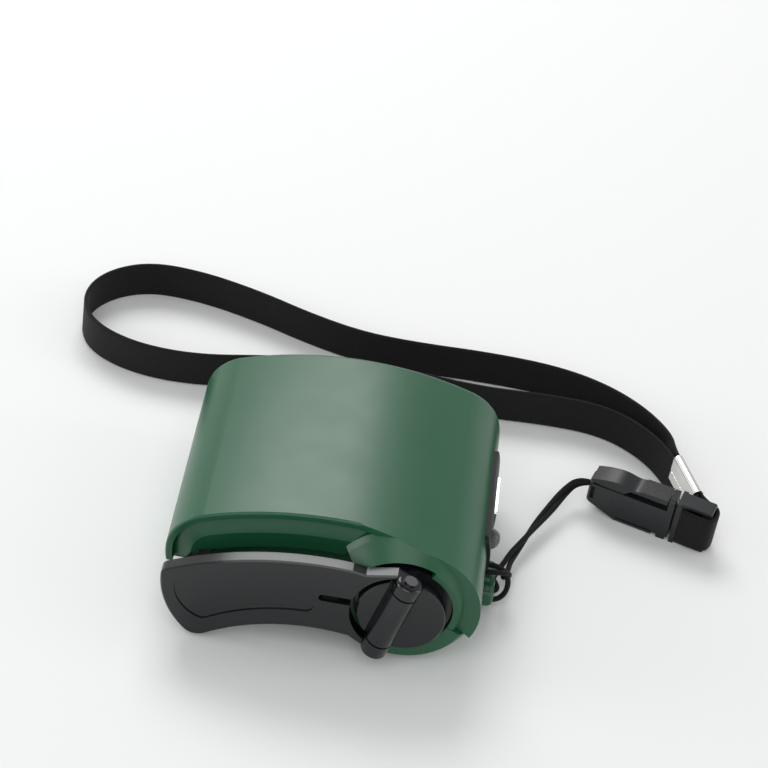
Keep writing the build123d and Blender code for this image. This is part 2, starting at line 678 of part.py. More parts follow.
def arm_sketch():
    """Outline of the crank arm as it lies folded against the housing."""
    axis = (math.sin(math.radians(BARREL_TILT)), math.cos(math.radians(BARREL_TILT)))
    top_end = (BARREL_X + axis[0] * BARREL_TOP, BARREL_Z + axis[1] * BARREL_TOP)
    low_end = (BARREL_X - axis[0] * BARREL_BOTTOM, BARREL_Z - axis[1] * BARREL_BOTTOM)
    shoulder = (top_end[0] - axis[1] * BARREL_R, top_end[1] + axis[0] * BARREL_R)
    heel = (low_end[0] - axis[1] * BARREL_R, low_end[1] + axis[0] * BARREL_R)
    corner = arm_top_point(ARM_LEFT_X, ARM_TOP_DROP)
    dip_left = arm_top_point(ARM_DIP[0] - 3.2, ARM_TOP_DROP)
    tip = arm_low_point(ARM_TIP_X)
    low_right = arm_low_point(heel[0] - 3.0)
    with BuildSketch() as sketch:
        with BuildLine():
            ThreePointArc(corner, arm_top_point(-12, ARM_TOP_DROP), dip_left)
            Line(dip_left, ARM_DIP)
            Line(ARM_DIP, shoulder)
            Line(shoulder, top_end)
            Line(top_end, low_end)
            Line(low_end, heel)
            Line(heel, low_right)
            ThreePointArc(low_right, arm_low_point(-8), tip)
            ThreePointArc(tip, ARM_SIDE_MID, corner)
        make_face()
        fillet(sketch.vertices().sort_by_distance(corner)[0], ARM_CORNER_R)
        fillet(sketch.vertices().sort_by_distance(tip)[0], ARM_TIP_R)
        fillet(sketch.vertices().sort_by_distance(ARM_DIP)[0], 1.5)
    return sketch.sketch


def arm_panel_sketch():
    """Outline of the shallow bare panel in the arm."""
    drop = ARM_TOP_DROP + PANEL_TOP_DROP
    left_x = ARM_LEFT_X + PANEL_LEFT_INSET
    top_left = arm_top_point(left_x, drop)
    top_right = arm_top_point(PANEL_RIGHT_X, drop)
    low_right = arm_low_point(PANEL_RIGHT_X, PANEL_LOWER_RISE)
    tip = arm_low_point(ARM_TIP_X + 1.6, PANEL_LOWER_RISE - 0.6)
    side = (ARM_SIDE_MID[0] + PANEL_LEFT_INSET, ARM_SIDE_MID[1] + 1.0)
    with BuildSketch() as sketch:
        with BuildLine():
            ThreePointArc(top_left, arm_top_point(-14, drop), top_right)
            Line(top_right, low_right)
            ThreePointArc(low_right, arm_low_point(-13, PANEL_LOWER_RISE), tip)
            ThreePointArc(tip, side, top_left)
        make_face()
        fillet(sketch.vertices(), PANEL_R)
    return sketch.sketch


def arm_knuckle(inner, outer):
    """One knuckle of the arm with its outer end rounded."""
    body = Pos(0, 0, (inner + outer) / 2) * Cylinder(BARREL_R, abs(outer - inner))
    rim = [e for e in body.edges() if abs(e.center().Z - outer) < 0.01 and e.length > BARREL_R * 4]
    return BARREL_PLANE * fillet(rim, KNUCKLE_EDGE)


def crank_arm():
    """Folding crank arm with its two knuckles, keyhole slot, bare panel and the boss for the knob."""
    plate = prism(arm_sketch(), ARM_FRONT_Y, ARM_BACK_Y)
    front = plate.faces().sort_by(Axis.Y)[0]
    plate = chamfer(front.edges(), ARM_EDGE)
    plate -= disc(HUB, ARM_NOTCH_R, ARM_FRONT_Y - 5, ARM_BACK_Y + 1)
    slot_end = HUB[0] - ARM_NOTCH_R + 1
    slot = Pos((SLOT_FROM_X + slot_end) / 2, SLOT_Z) * SlotCenterToCenter(slot_end - SLOT_FROM_X, SLOT_W)
    plate -= prism(slot, ARM_FRONT_Y - 1, ARM_BACK_Y + 1)
    plate -= prism(arm_panel_sketch(), ARM_FRONT_Y - 1, ARM_FRONT_Y + PANEL_DEPTH)
    plate += arm_knuckle(KNUCKLE_UP + KNUCKLE_GAP, BARREL_TOP)
    plate += arm_knuckle(-KNUCKLE_DOWN - KNUCKLE_GAP, -BARREL_BOTTOM)
    plate -= barrel(BARREL_R + RELIEF, -KNUCKLE_DOWN - KNUCKLE_GAP, KNUCKLE_UP + KNUCKLE_GAP)
    plate -= barrel(PIN_R + PIN_CLEAR, -BARREL_BOTTOM - 5, BARREL_TOP + 5)
    boss_end = ARM_BACK_Y + KNOB_GAP + KNOB_WEB + 0.2
    plate += disc((KNOB_X, KNOB_Z), KNOB_BOSS_R, ARM_BACK_Y - 0.2, boss_end)
    plate -= disc((KNOB_X, KNOB_Z), KNOB_SCREW_R, ARM_BACK_Y - 1.2, boss_end + 1)
    return largest(plate)


def knob():
    """Finger knob behind the arm, with grip flutes and a counterbore for its screw."""
    front = ARM_BACK_Y + KNOB_GAP
    back = front + KNOB_H
    body = spun(
        [
            (KNOB_BOSS_R + FIT, front),
            (KNOB_R - KNOB_EDGE, front),
            (KNOB_R, front + KNOB_EDGE),
            (KNOB_R, back - KNOB_EDGE),
            (KNOB_R - KNOB_EDGE, back),
            (KNOB_SCREW_HEAD_R + 0.4, back),
            (KNOB_SCREW_HEAD_R + 0.4, front + KNOB_WEB),
            (KNOB_BOSS_R + FIT, front + KNOB_WEB),
        ],
        (KNOB_X, KNOB_Z),
    )
    for i in range(KNOB_GRIPS):
        at = polar((KNOB_X, KNOB_Z), KNOB_R + KNOB_GRIP_R / 3, 360 * i / KNOB_GRIPS)
        body -= disc(at, KNOB_GRIP_R, front + KNOB_EDGE, back - KNOB_EDGE)
    return body


def knob_screw():
    """Screw with a wide head that keeps the knob on its boss."""
    seat = ARM_BACK_Y + KNOB_GAP + KNOB_WEB + 0.2
    at = (KNOB_X, KNOB_Z)
    body = disc(at, KNOB_SCREW_R, ARM_BACK_Y - 1.1, seat)
    body += disc(at, KNOB_SCREW_HEAD_R, seat, seat + KNOB_SCREW_HEAD_T)
    return body - prism(cross_slot(at, 3.2, 0.7), seat + KNOB_SCREW_HEAD_T - 0.5, seat + KNOB_SCREW_HEAD_T + 1)


def cross_slot(at, length, width):
    """The plus-shaped drive of a screw."""
    return Pos(*at) * (Rectangle(length, width) + Rectangle(width, length))


# ---------------------------------------------------------------- gear train
def gear_sketch(teeth, tooth_at):
    """Gear outline: straight-flanked teeth between root and tip circles, one of them at an angle."""
    pitch_r = MODULE * teeth / 2
    tip_r = pitch_r + 0.8 * MODULE
    root_r = pitch_r - 1.1 * MODULE
    step = 360 / teeth
    half_tip = step * 0.10
    half_pitch = step * 0.19
    half_root = step * 0.30
    points = []
    for i in range(teeth):
        middle = tooth_at + i * step
        points.append(polar((0, 0), root_r, middle - half_root))
        points.append(polar((0, 0), pitch_r, middle - half_pitch))
        points.append(polar((0, 0), tip_r, middle - half_tip))
        points.append(polar((0, 0), tip_r, middle + half_tip))
        points.append(polar((0, 0), pitch_r, middle + half_pitch))
        points.append(polar((0, 0), root_r, middle + half_root))
    return make_face(Polyline(*points, close=True))


def toothed(teeth, x, y_front, width, tooth_at):
    """One toothed wheel on an axis along Y."""
    return prism(Pos(x, HUB[1]) * gear_sketch(teeth, tooth_at), y_front, y_front + width)


def crank_gear():
    """Large gear on the crank shaft, with a lightened web."""
    back = LAYER_A_Y + CRANK_GEAR_FACE
    body = toothed(CRANK_TEETH, HUB[0], LAYER_A_Y, CRANK_GEAR_FACE, 180)
    web = disc(HUB, MODULE * CRANK_TEETH / 2 - 2.4, back - 1.2, back + 1) - disc(HUB, SHAFT_R + 2.2, back - 2, back + 2)
    body -= web
    for i in range(6):
        body -= disc(polar(HUB, 7.4, 30 + 60 * i), 1.7, LAYER_A_Y - 1, back + 1)
    return body - disc(HUB, SHAFT_R + 0.02, LAYER_A_Y - 1, back + 1)


def compound_gear(x, wheel_teeth, pinion_y, wheel_y):
    """Wheel and pinion moulded as one, loose on a fixed pin."""
    wheel = toothed(wheel_teeth, x, wheel_y, GEAR_FACE, 180)
    pinion = toothed(PINION_TEETH, x, pinion_y, wheel_y - pinion_y + 0.1, 180 / PINION_TEETH)
    return wheel + pinion - disc((x, HUB[1]), GEAR_PIN_R + FIT, pinion_y - 1, wheel_y + GEAR_FACE + 1)


def rotor_pinion():
    """Small pinion pressed on the generator shaft."""
    body = toothed(PINION_TEETH, ROTOR_X, LAYER_C_Y, GEAR_FACE, 180 / PINION_TEETH)
    return body - disc((ROTOR_X, HUB[1]), ROTOR_SHAFT_R + 0.02, LAYER_C_Y - 1, REAR_PLATE_Y)


def crank_shaft():
    """Steel shaft from the hub through both gearbox plates, with a groove for its clip."""
    end = CAN_Y + 2.2
    body = disc(HUB, SHAFT_R, RING_FRONT_Y + HUB_SKIRT_DROP, end)
    groove = disc(HUB, SHAFT_R + 1, CAN_Y + 0.2, CAN_Y + 0.9) - disc(HUB, SHAFT_R - 0.5, CAN_Y - 1, CAN_Y + 2)
    return body - groove


def shaft_clip():
    """Open spring clip in the groove of the crank shaft."""
    ring_part = disc(HUB, SHAFT_R + 1.4, CAN_Y + 0.25, CAN_Y + 0.85) - disc(HUB, SHAFT_R - 0.45, CAN_Y - 1, CAN_Y + 2)
    mouth = block((HUB[0] - 1.2, HUB[0] + 1.2), (CAN_Y - 1, CAN_Y + 2), (HUB[1], HUB[1] + 5))
    return ring_part - mouth


def crank_bush():
    """Flanged brass bush in the front wall."""
    body = disc(HUB, BUSH_R, RIM_DEPTH - BUSH_FLANGE_T, FACE_BACK_Y + PLATE_T)
    body += disc(HUB, BUSH_FLANGE_R, RIM_DEPTH - BUSH_FLANGE_T, RIM_DEPTH)
    return body - disc(HUB, SHAFT_R + FIT, 0, FACE_BACK_Y + PLATE_T + 1)


def plate_holes(body, y_front, y_back):
    """Holes for the gear pins and the spacer screws."""
    for x in (GEAR_1_X, GEAR_2_X):
        body -= disc((x, HUB[1]), GEAR_PIN_R + 0.02, y_front - 1, y_back + 1)
    for at in SPACERS:
        body -= disc(at, SPACER_HOLE_R, y_front - 1, y_back + 1)
    return body


def front_plate():
    """Gearbox plate against the front wall."""
    y_back = FACE_BACK_Y + PLATE_T
    circles = [Pos(*at) * Circle(PLATE_RIM) for at in SPACERS + ((GEAR_2_X, HUB[1]),)]
    circles.append(Pos(*HUB) * Circle(BUSH_FLANGE_R + 1))
    edges = [e for circle in circles for e in circle.edges()]
    body = prism(make_hull(edges), FACE_BACK_Y, y_back) & prism(outline(WALL + PLATE_CLEAR), 0, BODY_DEPTH)
    body -= disc(HUB, BUSH_R + 0.02, 0, y_back + 1)
    return plate_holes(body, FACE_BACK_Y, y_back)


def rear_plate():
    """Gearbox plate that carries the generator."""
    y_back = REAR_PLATE_Y + PLATE_T
    body = prism(outline(WALL + PLATE_CLEAR), REAR_PLATE_Y, y_back)
    body &= block((-2 * FOOT_X, HUB[0] + PLATE_BEYOND_SHAFT), (0, BODY_DEPTH), (0, 3 * FOOT_R))
    body -= disc(HUB, SHAFT_R + FIT, REAR_PLATE_Y - 1, y_back + 1)
    body -= disc((ROTOR_X, HUB[1]), ROTOR_SHAFT_R + FIT, REAR_PLATE_Y - 1, y_back + 1)
    return plate_holes(body, REAR_PLATE_Y, y_back)


def gear_pins():
    """Fixed steel pins that carry the two compound gears."""
    pins = []
    for x in (GEAR_1_X, GEAR_2_X):
        pins.append(disc((x, HUB[1]), GEAR_PIN_R, FACE_BACK_Y, REAR_PLATE_Y + PLATE_T))
    return Compound([pin.solid() for pin in pins])


def spacers():
    """Posts that hold the gearbox plates apart."""
    posts = []
    for at in SPACERS:
        post = disc(at, SPACER_R, FACE_BACK_Y + PLATE_T, REAR_PLATE_Y)
        posts.append(post - disc(at, SPACER_HOLE_R, 0, BODY_DEPTH))
    return Compound([post.solid() for post in posts])


def gearbox_screws():
    """Screws through the rear plate into the spacers."""
    screws = []
    for at in SPACERS:
        seat = REAR_PLATE_Y + PLATE_T
        screw = disc(at, SPACER_HOLE_R - 0.05, REAR_PLATE_Y - 6, seat)
        screw += disc(at, GEAR_SCREW_HEAD_R, seat, seat + GEAR_SCREW_HEAD_T)
        screw -= prism(cross_slot(at, 1.8, 0.4), seat + GEAR_SCREW_HEAD_T - 0.4, seat + GEAR_SCREW_HEAD_T + 1)
        screws.append(screw.solid())
    return Compound(screws)


# ---------------------------------------------------------------- generator
def generator_can():
    """Drawn steel can, open at the back, screwed to the rear plate."""
    at = (ROTOR_X, HUB[1])
    body = disc(at, CAN_R, CAN_Y, CAN_Y + CAN_LENGTH)
    body -= disc(at, CAN_R - CAN_WALL, CAN_Y + CAN_WALL, CAN_Y + CAN_LENGTH + 1)
    return body - disc(at, ROTOR_SHAFT_R + FIT, CAN_Y - 1, CAN_Y + CAN_LENGTH)


def generator_cap():
    """Moulded cap with the rear bearing and a hole for the wires."""
    at = (ROTOR_X, HUB[1])
    end = CAN_Y + CAN_LENGTH
    body = disc(at, CAN_R, end, end + CAP_T)
    body += disc(at, CAN_R - CAN_WALL - 0.05, end - 1.2, end)
    body -= disc(at, CAN_R - CAN_WALL - 2, end - 2, end)
    body += disc(at, CAN_BOSS_R, end - 2.0, end)
    body -= disc(at, ROTOR_SHAFT_R + FIT, end - 3, end + 1)
    return body - disc((at[0] + 8.6, at[1] + 2), 1.2, end - 3, end + CAP_T + 1)


def rotor_shaft():
    """Steel shaft of the rotor, from the pinion to the bearing in the cap."""
    return disc((ROTOR_X, HUB[1]), ROTOR_SHAFT_R, LAYER_C_Y - 1, CAN_Y + CAN_LENGTH + 0.6)


def rotor_magnet():
    """Ring magnet on the rotor shaft."""
    at = (ROTOR_X, HUB[1])
    start = CAN_Y + MAGNET_START
    return disc(at, MAGNET_R, start, start + MAGNET_LENGTH) - disc(at, ROTOR_SHAFT_R + 0.02, start - 1, BODY_DEPTH)


def stator_core():
    """Laminated ring with six inward poles."""
    at = (ROTOR_X, HUB[1])
    start = CAN_Y + MAGNET_START + 0.5
    outer = CAN_R - CAN_WALL - 0.02
    body = disc(at, outer, start, start + CORE_LENGTH) - disc(at, outer - 1.2, start - 1, BODY_DEPTH)
    for i in range(POLES):
        tooth = block((MAGNET_R + AIR_GAP, outer - 0.6), (start, start + CORE_LENGTH), (-1.0, 1.0))
        body += Pos(at[0], 0, at[1]) * Rot(0, 60 * i, 0) * tooth
    return body - disc(at, MAGNET_R + AIR_GAP, start - 1, BODY_DEPTH)


def stator_coils():
    """Six copper coils, one round each pole."""
    at = (ROTOR_X, HUB[1])
    start = CAN_Y + MAGNET_START + 0.5
    outer = CAN_R - CAN_WALL - 1.8
    inner = MAGNET_R + AIR_GAP + 0.6
    middle = start + CORE_LENGTH / 2
    coils = []
    for i in range(POLES):
        half_y = CORE_LENGTH / 2 + COIL_T
        coil = block((inner, outer), (middle - half_y, middle + half_y), (-1.1 - COIL_T, 1.1 + COIL_T))
        coil -= block((0, CAN_R), (start - 0.05, start + CORE_LENGTH + 0.05), (-1.05, 1.05))
        coils.append(Pos(at[0], 0, at[1]) * Rot(0, 60 * i, 0) * coil)
    return Compound([coil.solid() for coil in coils])


# ---------------------------------------------------------------- circuit board
def circuit_board():
    """Board on four posts under the socket."""
    body = block(BOARD_X, BOARD_Y, (BOARD_TOP_Z - BOARD_T, BOARD_TOP_Z))
    for at in BOARD_POSTS:
        body -= upright(at, BOARD_HOLE_R, 0, 3 * FOOT_R)
    return body & prism(outline(WALL + PLATE_CLEAR), 0, BODY_DEPTH)


def board_screws():
    """Screws that hold the board on its posts."""
    screws = []
    for at in BOARD_POSTS:
        screw = upright(at, BOARD_HOLE_R - 0.35, BOARD_TOP_Z - 4.5, BOARD_TOP_Z)
        screw += upright(at, BOARD_HOLE_R + 0.9, BOARD_TOP_Z, BOARD_TOP_Z + 0.9)
        slot = Pos(at[0], at[1], BOARD_TOP_Z + 0.9) * Box(2.2, 0.5, 0.8)
        screws.append((screw - slot).solid())
    return Compound(screws)


def capacitor():
    """Storage capacitor standing on the board."""
    at = (5.0, 33.0)
    body = upright(at, 4.0, BOARD_TOP_Z, BOARD_TOP_Z + 10.5)
    body = fillet(body.edges().sort_by(Axis.Z)[-1], 0.5)
    groove = upright(at, 5.0, BOARD_TOP_Z + 1.2, BOARD_TOP_Z + 1.8) - upright(at, 3.7, 0, 3 * FOOT_R)
    return body - groove


def rectifier_diodes():
    """Four diodes of the bridge, lying on the board."""
    bodies = []
    for i in range(4):
        y = 38.6 + 2.6 * i
        bodies.append(block((9.0, 13.2), (y, y + 1.6), (BOARD_TOP_Z, BOARD_TOP_Z + 1.5)))
    return Compound(bodies)


def regulator():
    """Voltage regulator chip."""
    body = block((10.0, 15.0), (29.0, 33.0), (BOARD_TOP_Z, BOARD_TOP_Z + 1.6))
    return chamfer(body.edges().group_by(Axis.Z)[-1], 0.3)


def inductor():
    """Wound coil of the regulator."""
    at = (2.0, 42.0)
    body = upright(at, 3.0, BOARD_TOP_Z, BOARD_TOP_Z + 4.2)
    waist = upright(at, 4.0, BOARD_TOP_Z + 1, BOARD_TOP_Z + 3.2) - upright(at, 2.4, 0, 3 * FOOT_R)
    return body - waist


def generator_wires():
    """Two insulated wires from the generator to the board."""
    start = CAN_Y + CAN_LENGTH - 1.0
    cap = CAN_Y + CAN_LENGTH + CAP_T
    wires = []
    for side in (-1, 1):
        x = ROTOR_X + 8.6 + side * 0.52
        z = HUB[1] + 2
        y_turn = cap + 3.2 + side * 0.8
        end_x = BOARD_X[0] + 2.2 + side * 1.0
        end_y = 43.4 - side * 0.2
        path = FilletPolyline(
            (x, start, z), (x, y_turn, z), (end_x, y_turn, z), (end_x, y_turn, z - 2.0), (end_x, end_y - 2.0, BOARD_TOP_Z + 1.4),
            (end_x, end_y - 2.0, BOARD_TOP_Z),
            radius=0.6,
        )
        wires.append(sweep(Plane(origin=path @ 0, z_dir=path % 0) * Circle(0.45), path))
    return Compound([wire.solid() for wire in wires])


def housing_screws():
    """Four screws from below that hold the shells together."""
    screws = []
    for at in SCREWS:
        screw = upright(at, SCREW_R - 0.1, SCREW_SEAT, SCREW_END)
        screw += upright(at, SCREW_HEAD_R, SCREW_SEAT - SCREW_HEAD_T, SCREW_SEAT)
        slot = Pos(at[0], at[1], SCREW_SEAT - SCREW_HEAD_T) * (Box(2.6, 0.6, 1.6) + Box(0.6, 2.6, 1.6))
        screws.append((screw - slot).solid())
    return Compound(screws)


# ---------------------------------------------------------------- wrist cord
def corner_radii(points, cap=60.0):
    """Largest round at each corner: 0.45 of the shorter run over the tangent of half the turn."""
    radii = []
    for before, at, after in zip(points, points[1:], points[2:]):
        incoming = Vector(*at) - Vector(*before)
        outgoing = Vector(*after) - Vector(*at)
        half_turn = math.radians(incoming.get_angle(outgoing)) / 2
        radii.append(min(cap, 0.45 * min(incoming.length, outgoing.length) / math.tan(half_turn)))
    return radii


def cord_strand(points):
    """One thin strand of the wrist cord along its route."""
    radii = corner_radii(points, cap=400.0)
    print("strand radii", [round(r, 1) for r in radii])
    path = FilletPolyline(*points, radius=radii)
    return sweep(Plane(origin=path @ 0, z_dir=path % 0) * Circle(CORD_D / 2), path)


def cord_hitch():
    """The turns of the cord round the bar of the lug."""
    clear = 0.15
    x_in = LUG_X - LUG_BAR - clear - CORD_D / 2
    x_out = LUG_X + clear + CORD_D / 2
    z_in = LUG_Z[0] - clear - CORD_D / 2
    z_out = LUG_Z[1] + clear + CORD_D / 2
    turns = []
    for y in HITCH_Y:
        middle = Pos((x_in + x_out) / 2, (z_in + z_out) / 2)
        outer = middle * RectangleRounded(x_out - x_in + CORD_D, z_out - z_in + CORD_D, CORD_D)
        inner = middle * RectangleRounded(x_out - x_in - CORD_D, z_out - z_in - CORD_D, 0.3)
        turn = prism(outer - inner, y - CORD_D / 2, y + CORD_D / 2)
        turns.append(turn)
    return Compound([turn.solid() for turn in turns])


# ---------------------------------------------------------------- buckle
BUCKLE_AT = Pos(BUCKLE_X, BUCKLE_Y, 0) * Rot(0, 0, BUCKLE_TURN)


def side_view(points, half_t):
    """A flat piece of the buckle, drawn in its side view and given a thickness."""
    face = make_face(Polyline(*points, close=True))
    middle = Plane(origin=(0, half_t, 0), x_dir=(1, 0, 0), z_dir=(0, -1, 0))
    return extrude(middle * face, amount=2 * half_t)


def buckle_socket():
    """Socket half: tapered cord end, hollow for the insert, ear for the lever and an end post."""
    top = BUCKLE_H
    body = side_view(
        [
            (0, TAPER_DROP),
            (TAPER_LENGTH, LEDGE_Z),
            (FOOT_NOTCHES[0][0], LEDGE_Z),
            (FOOT_NOTCHES[0][1], 0),
            (SOCKET_LENGTH, 0),
            (SOCKET_LENGTH, top),
            (SOCKET_LENGTH - SOCKET_POST, top),
            (SOCKET_LENGTH - SOCKET_POST, SOCKET_TOP),
            (0, SOCKET_TOP),
        ],
        BUCKLE_T / 2,
    )
    nose = [e for e in body.edges().filter_by(Axis.Z) if e.center().X < 0.1]
    body = fillet(nose, 1.2)
    post = [e for e in body.edges().filter_by(Axis.X) if e.center().Z > top - 0.1]
    body = fillet(post, 0.8)
    reach = SOCKET_LENGTH - INSERT_REACH - INSERT_GAP
    body -= block((reach, SOCKET_LENGTH + 1), (-SOCKET_WALL, SOCKET_WALL), HOLLOW_Z)
    body -= block(CORD_HOLE, (-BUCKLE_T, BUCKLE_T), CORD_HOLE_Z)
    for notch_x in FOOT_NOTCHES:
        body -= block(notch_x, (-BUCKLE_T, BUCKLE_T), (-1, FOOT_NOTCH_Z))
    for side in (-1, 1):
        slit_y = (side * (BUCKLE_T / 2 - LEDGE_SLIT_D), side * BUCKLE_T)
        body -= block(LEDGE_SLIT, slit_y, LEDGE_SLIT_Z)
    ear = block((PIVOT[0] - 1.1, PIVOT[0] + 1.1), (-EAR_HALF, EAR_HALF), (SOCKET_TOP - 0.5, PIVOT[1] + 0.8))
    body += ear
    bore = Pos(PIVOT[0], 0, PIVOT[1]) * Rot(90, 0, 0) * Cylinder(LATCH_PIN_R + FIT, BUCKLE_T)
    return BUCKLE_AT * (body - bore)


def latch_pin():
    """Pin of the lever."""
    pin = Pos(PIVOT[0], 0, PIVOT[1]) * Rot(90, 0, 0) * Cylinder(LATCH_PIN_R, BUCKLE_T - 0.6)
    return BUCKLE_AT * pin


def buckle_latch():
    """Lever over the whole top of the socket, with its raised leaf end and waved waist."""
    with BuildSketch() as sketch:
        with BuildLine():
            Polyline(*LEVER_UNDER, *LEVER_LEAF)
            Spline(*LEVER_WAVE)
            Line(LEVER_WAVE[-1], LEVER_UNDER[0])
        make_face()
    middle = Plane(origin=(0, BUCKLE_T / 2, 0), x_dir=(1, 0, 0), z_dir=(0, -1, 0))
    body = extrude(middle * sketch.sketch, amount=BUCKLE_T)
    room = EAR_HALF + EAR_GAP
    body -= block((PIVOT[0] - 1.6, PIVOT[0] + 1.6), (-room, room), (0, PIVOT[1] + 1.1))
    pin = Pos(PIVOT[0], 0, PIVOT[1]) * Rot(90, 0, 0) * Cylinder(LATCH_PIN_R + 0.02, BUCKLE_T - 0.6)
    return BUCKLE_AT * (body - pin)


def buckle_insert():
    """Insert half: tongue, flange and the open frame that carries the strap."""
    start = SOCKET_LENGTH + INSERT_GAP
    top = BUCKLE_H
    half = BUCKLE_T / 2
    low = HOLLOW_Z[0] + TONGUE_EASE
    high = HOLLOW_Z[1] - TONGUE_EASE
    slim = SOCKET_WALL - TONGUE_EASE
    tongue = block((SOCKET_LENGTH - INSERT_REACH, start + 0.5), (-slim, slim), (low, high))
    tongue -= block((SOCKET_LENGTH - INSERT_REACH + 1.6, start - 2.5), (-half, half), (low + 1.6, high - 1.6))
    flange = block((start, start + FLANGE_T), (-half, half), (0, top))
    inner_start = start + FLANGE_T + 0.2
    inner_end = start + INSERT_LENGTH - FRAME_BAR
    frame = block((start, start + INSERT_LENGTH), (-half + FRAME_SET, half - FRAME_SET), (0, top))
    frame -= block((inner_start, inner_end), (-half, half), (FRAME_SIDE, top - FRAME_SIDE))
    corners = [e for e in frame.edges().filter_by(Axis.Y) if e.center().X > start + INSERT_LENGTH - 0.1]
    frame = fillet(corners, 0.7)
    return BUCKLE_AT * (tongue + flange + frame)


# ---------------------------------------------------------------- strap
def band(points, z_from, cap):
    """A flat band standing on its edge along a route in plan."""
    radii = corner_radii([(x, y, 0) for x, y in points], cap)
    print("band radii", [round(r, 1) for r in radii])
    path = FilletPolyline(*points, radius=radii)
    return Pos(0, 0, z_from) * extrude(trace(path, STRAP_T), amount=STRAP_W)


def from_buckle(at):
    """A place in the buckle's plan as a place in the charger's."""
    turn = math.radians(BUCKLE_TURN)
    x = BUCKLE_X + at[0] * math.cos(turn) - at[1] * math.sin(turn)
    y = BUCKLE_Y + at[0] * math.sin(turn) + at[1] * math.cos(turn)
    return (x, y)


def in_crimp(along, side):
    """A place in the crimp: distance from its near end and offset to one side, in the buckle's plan."""
    turn = math.radians(CRIMP_TURN)
    x = CRIMP_START[0] + along * math.cos(turn) - side * math.sin(turn)
    y = CRIMP_START[1] + along * math.sin(turn) + side * math.cos(turn)
    return (x, y)


def strap_side():
    return (STRAP_T + LAYER_GAP) / 2


def wrist_strap():
    """Flat woven strap, one long loop that lies behind the charger; both ends sit in the crimp."""
    half = CRIMP_LENGTH / 2
    first = [from_buckle(in_crimp(along, -strap_side())) for along in (half + 0.1, CRIMP_LENGTH + 3.4)]
    last = [from_buckle(in_crimp(along, strap_side())) for along in (CRIMP_LENGTH + 3.4, half + 0.1)]
    return band(first + STRAP + last, STRAP_Z, 60.0)


def strap_end():
    """The strap's joined ends, wrapped round the frame's bar."""
    half = CRIMP_LENGTH / 2
    front = -(BUCKLE_T / 2 - FRAME_SET + WRAP_GAP + STRAP_T / 2)
    outer = SOCKET_LENGTH + INSERT_GAP + INSERT_LENGTH + WRAP_GAP + STRAP_T / 2
    points = [
        in_crimp(half - 0.1, strap_side()),
        in_crimp(-1.4, strap_side()),
        (WRAP_START, front),
        (outer, front),
        (outer, -front),
        in_crimp(-1.4, -strap_side()),
        in_crimp(half - 0.1, -strap_side()),
    ]
    return band([from_buckle(at) for at in points], TAB_Z, 1.6)


def crimp():
    """Folded metal clamp over the doubled strap."""
    inner = STRAP_T + LAYER_GAP / 2 + CRIMP_EASE
    outer = inner + CRIMP_T
    body = block((0, CRIMP_LENGTH), (-outer, outer), (CRIMP_FOOT, CRIMP_TOP))
    crown = [e for e in body.edges().filter_by(Axis.X) if e.center().Z > CRIMP_TOP - 0.1]
    body = fillet(crown, outer * 0.8)
    body -= block((-1, CRIMP_LENGTH + 1), (-inner, inner), (0, TAB_Z + STRAP_W + CRIMP_EASE))
    groove_z = (CRIMP_FOOT + 2.2, CRIMP_FOOT + 2.7)
    body -= block((-1, CRIMP_LENGTH + 1), (outer - 0.2, outer + 1), groove_z)
    body -= block((-1, CRIMP_LENGTH + 1), (-outer - 1, -outer + 0.2), groove_z)
    return BUCKLE_AT * Pos(*CRIMP_START) * Rot(0, 0, CRIMP_TURN) * body


def parts():
    """Every piece of the charger by its name."""
    pieces = {
        "upper_shell": upper_shell(),
        "lower_shell": lower_shell(),
        "end_panel": end_panel(),
        "usb_shell": usb_shell(),
        "usb_tongue": usb_tongue(),
        "usb_contacts": usb_contacts(),
        "led_lens": led_lens(),
        "led_leads": led_leads(),
        "hinge_pin": hinge_pin(),
        "crank_hub": crank_hub(),
        "crank_arm": crank_arm(),
        "knob": knob(),
        "knob_screw": knob_screw(),
        "crank_gear": crank_gear(),
        "compound_gear_1": compound_gear(GEAR_1_X, WHEEL_1_TEETH, LAYER_A_Y, LAYER_B_Y),
        "compound_gear_2": compound_gear(GEAR_2_X, WHEEL_2_TEETH, LAYER_B_Y, LAYER_C_Y),
        "rotor_pinion": rotor_pinion(),
        "crank_shaft": crank_shaft(),
        "shaft_clip": shaft_clip(),
        "crank_bush": crank_bush(),
        "front_plate": front_plate(),
        "rear_plate": rear_plate(),
        "gear_pins": gear_pins(),
        "spacers": spacers(),
        "gearbox_screws": gearbox_screws(),
        "generator_can": generator_can(),
        "generator_cap": generator_cap(),
        "rotor_shaft": rotor_shaft(),
        "rotor_magnet": rotor_magnet(),
        "stator_core": stator_core(),
        "stator_coils": stator_coils(),
        "circuit_board": circuit_board(),
        "board_screws": board_screws(),
        "capacitor": capacitor(),
        "rectifier_diodes": rectifier_diodes(),
        "regulator": regulator(),
        "inductor": inductor(),
        "generator_wires": generator_wires(),
        "housing_screws": housing_screws(),
        "cord_hitch": cord_hitch(),
        "cord_strand_1": cord_strand(CORD_A),
        "cord_strand_2": cord_strand(CORD_B),
        "buckle_socket": buckle_socket(),
        "buckle_latch": buckle_latch(),
        "latch_pin": latch_pin(),
        "buckle_insert": buckle_insert(),
        "strap_end": strap_end(),
        "crimp": crimp(),
        "wrist_strap": wrist_strap(),
    }
    return pieces


CORD_NODES = ("cord_hitch", "cord_strand_1", "cord_strand_2", "buckle_socket", "buckle_latch", "latch_pin",
              "buckle_insert", "strap_end", "crimp", "wrist_strap")


